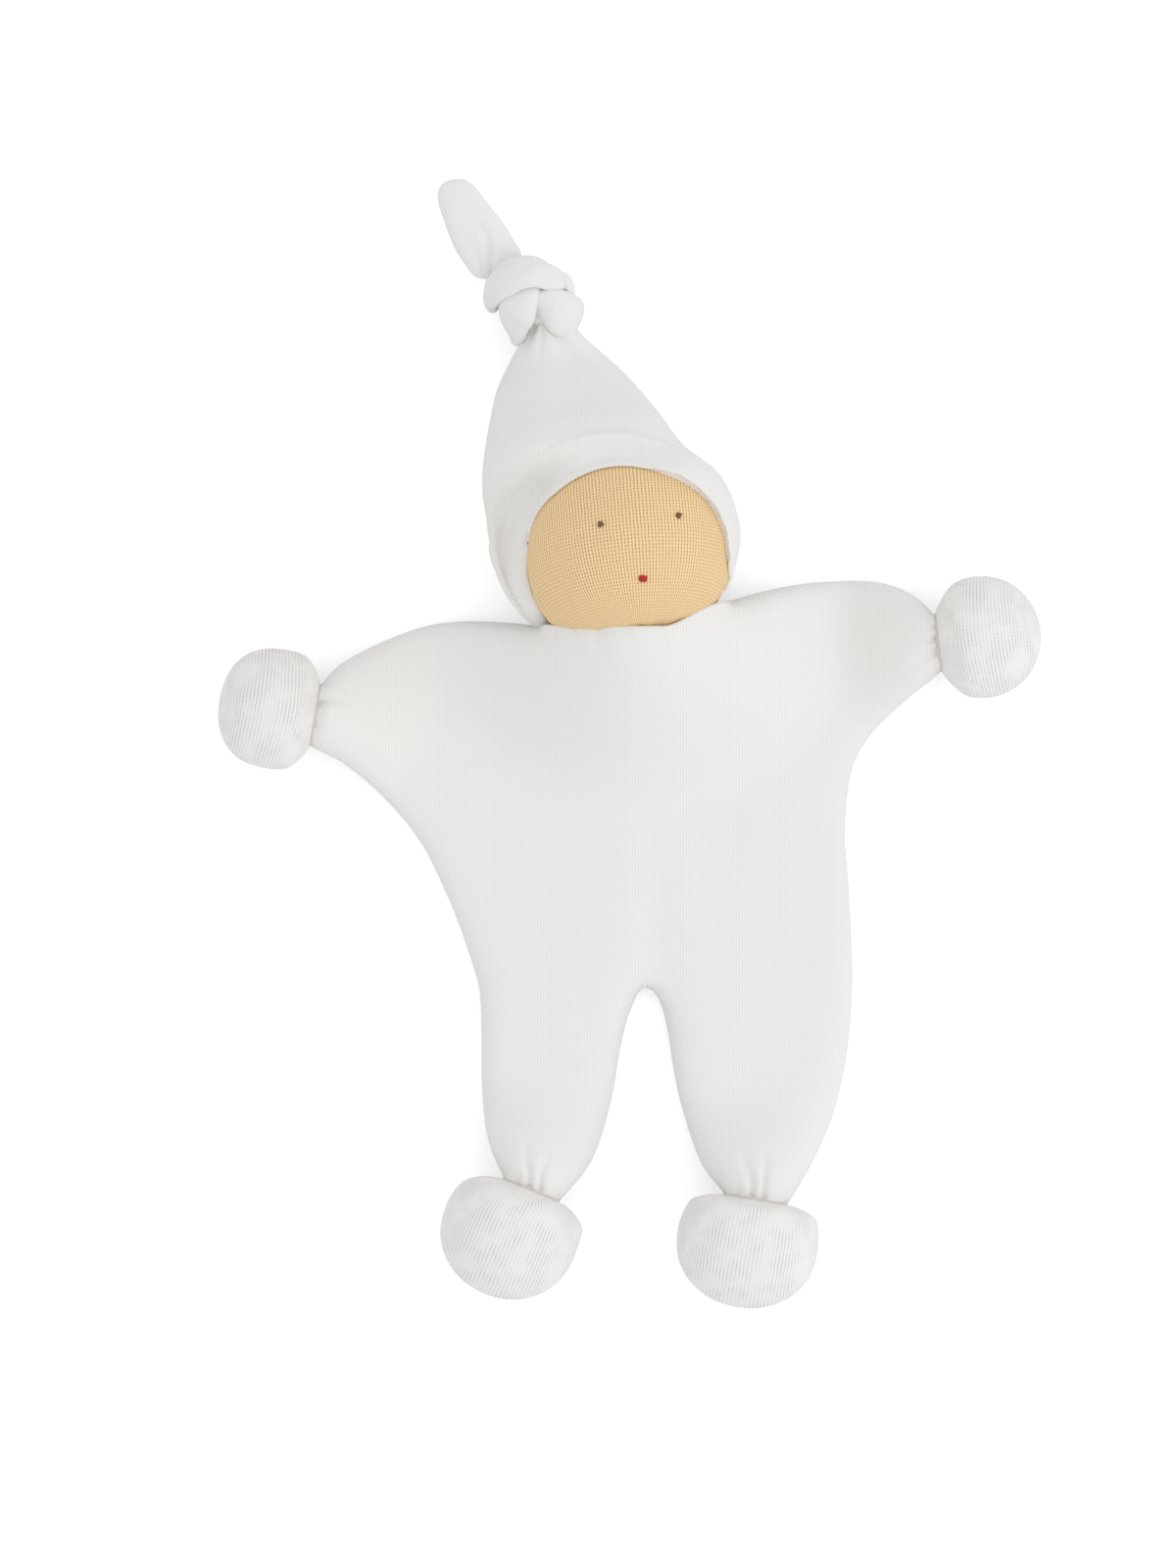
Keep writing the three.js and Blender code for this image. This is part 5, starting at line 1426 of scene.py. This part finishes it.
class DOLL_OT_stage(bpy.types.Operator):
    """Lay the pale floor, hang the lamp and set the camera above the doll"""

    bl_idname = "doll.stage"
    bl_label = "Stage"

    def execute(self, context):
        scene = context.scene
        settings = scene.doll_stage
        camera = bpy.data.objects.new("camera", bpy.data.cameras.new("camera"))
        scene.collection.objects.link(camera)
        camera.location = (VIEW_X, 0.0, settings.height)
        camera.data.sensor_fit = "VERTICAL"
        camera.data.sensor_width = camera.data.sensor_height = 36
        camera.data.lens = camera.data.sensor_height * (settings.height - VIEW_LEVEL) / VIEW_HEIGHT
        camera.data.clip_start, camera.data.clip_end = 0.1, 50
        scene.camera = camera

        # the floor looks paler to the camera than the light that it throws back on the doll
        graph = Graph("pale_floor")
        seen = graph.node("ShaderNodeLightPath", {}, {})
        mirrored, through = seen.output("Is Glossy Ray"), seen.output("Is Transmission Ray")
        plain = graph.node("ShaderNodeBsdfDiffuse", {}, {"Color": (0.86, 0.86, 0.86, 1.0)})
        glow = graph.node("ShaderNodeEmission", {}, {"Color": (1.0, 1.0, 1.0, 1.0), "Strength": 0.40})
        share = seen.math("MINIMUM", seen + mirrored + through, 1.0)
        none = graph.node("ShaderNodeEmission", {}, {"Color": (0.0, 0.0, 0.0, 1.0), "Strength": 0.0})
        lift = graph.node("ShaderNodeMixShader", {}, {0: share, 1: none, 2: glow})
        both = graph.node("ShaderNodeAddShader", {}, {0: plain, 1: lift})
        graph.node("ShaderNodeOutputMaterial", {}, {0: both})

        mesh = bpy.data.meshes.new("floor")
        corners = [(x * FLOOR_HALF, y * FLOOR_HALF, FLOOR_Z) for x, y in ((-1, -1), (1, -1), (1, 1), (-1, 1))]
        mesh.from_pydata(corners, [], [(0, 1, 2, 3)])
        mesh.materials.append(graph.material)
        floor = bpy.data.objects.new("floor", mesh)
        scene.collection.objects.link(floor)

        lamp = bpy.data.lights.new("soft_lamp", "AREA")
        lamp.shape, lamp.size = "DISK", LAMP_SIZE
        lamp.energy = settings.lamp
        hung = bpy.data.objects.new("soft_lamp", lamp)
        hung.location = LAMP_PLACE
        hung.rotation_euler = (-hung.location).to_track_quat("-Z", "Y").to_euler()
        scene.collection.objects.link(hung)

        world = bpy.data.worlds.new("even_sky")
        scene.world = world
        world.use_nodes = True
        background = world.node_tree.nodes["Background"]
        background.inputs[0].default_value = (1.0, 1.0, 1.0, 1.0)
        background.inputs[1].default_value = settings.sky
        scene.view_settings.view_transform = "Standard"
        return {"FINISHED"}


class DOLL_PT_panel(bpy.types.Panel):
    """Lists the doll's settings and pieces"""

    bl_idname = "DOLL_PT_panel"
    bl_label = "Comforter doll"
    bl_space_type = "VIEW_3D"
    bl_region_type = "UI"
    bl_category = "Doll"

    def draw(self, context):
        scene = context.scene
        for settings in (scene.doll_cloth, scene.doll_head, scene.doll_stage):
            column = self.layout.column(align=True)
            for name in settings.bl_rna.properties.keys():
                if name not in ("rna_type", "name"):
                    column.prop(settings, name)
        for piece in PIECES:
            self.layout.operator(piece.bl_idname)


PIECES = (DOLL_OT_stage, DOLL_OT_body, DOLL_OT_balls, DOLL_OT_head, DOLL_OT_hood, DOLL_OT_knot)
GROUPS = {"doll_cloth": DollClothSettings, "doll_head": DollHeadSettings, "doll_stage": DollStageSettings}


def register():
    for group in GROUPS.values():
        bpy.utils.register_class(group)
    for name, group in GROUPS.items():
        setattr(bpy.types.Scene, name, bpy.props.PointerProperty(type=group))
    for piece in (*PIECES, DOLL_PT_panel):
        bpy.utils.register_class(piece)


def unregister():
    for piece in (DOLL_PT_panel, *reversed(PIECES)):
        bpy.utils.unregister_class(piece)
    for name, group in reversed(GROUPS.items()):
        delattr(bpy.types.Scene, name)
        bpy.utils.unregister_class(group)


def main():
    register()
    bpy.ops.doll.stage()
    bpy.ops.doll.body()
    bpy.ops.doll.balls()
    bpy.ops.doll.head()
    bpy.ops.doll.hood()
    bpy.ops.doll.knot()


if __name__ == "__main__":
    main()
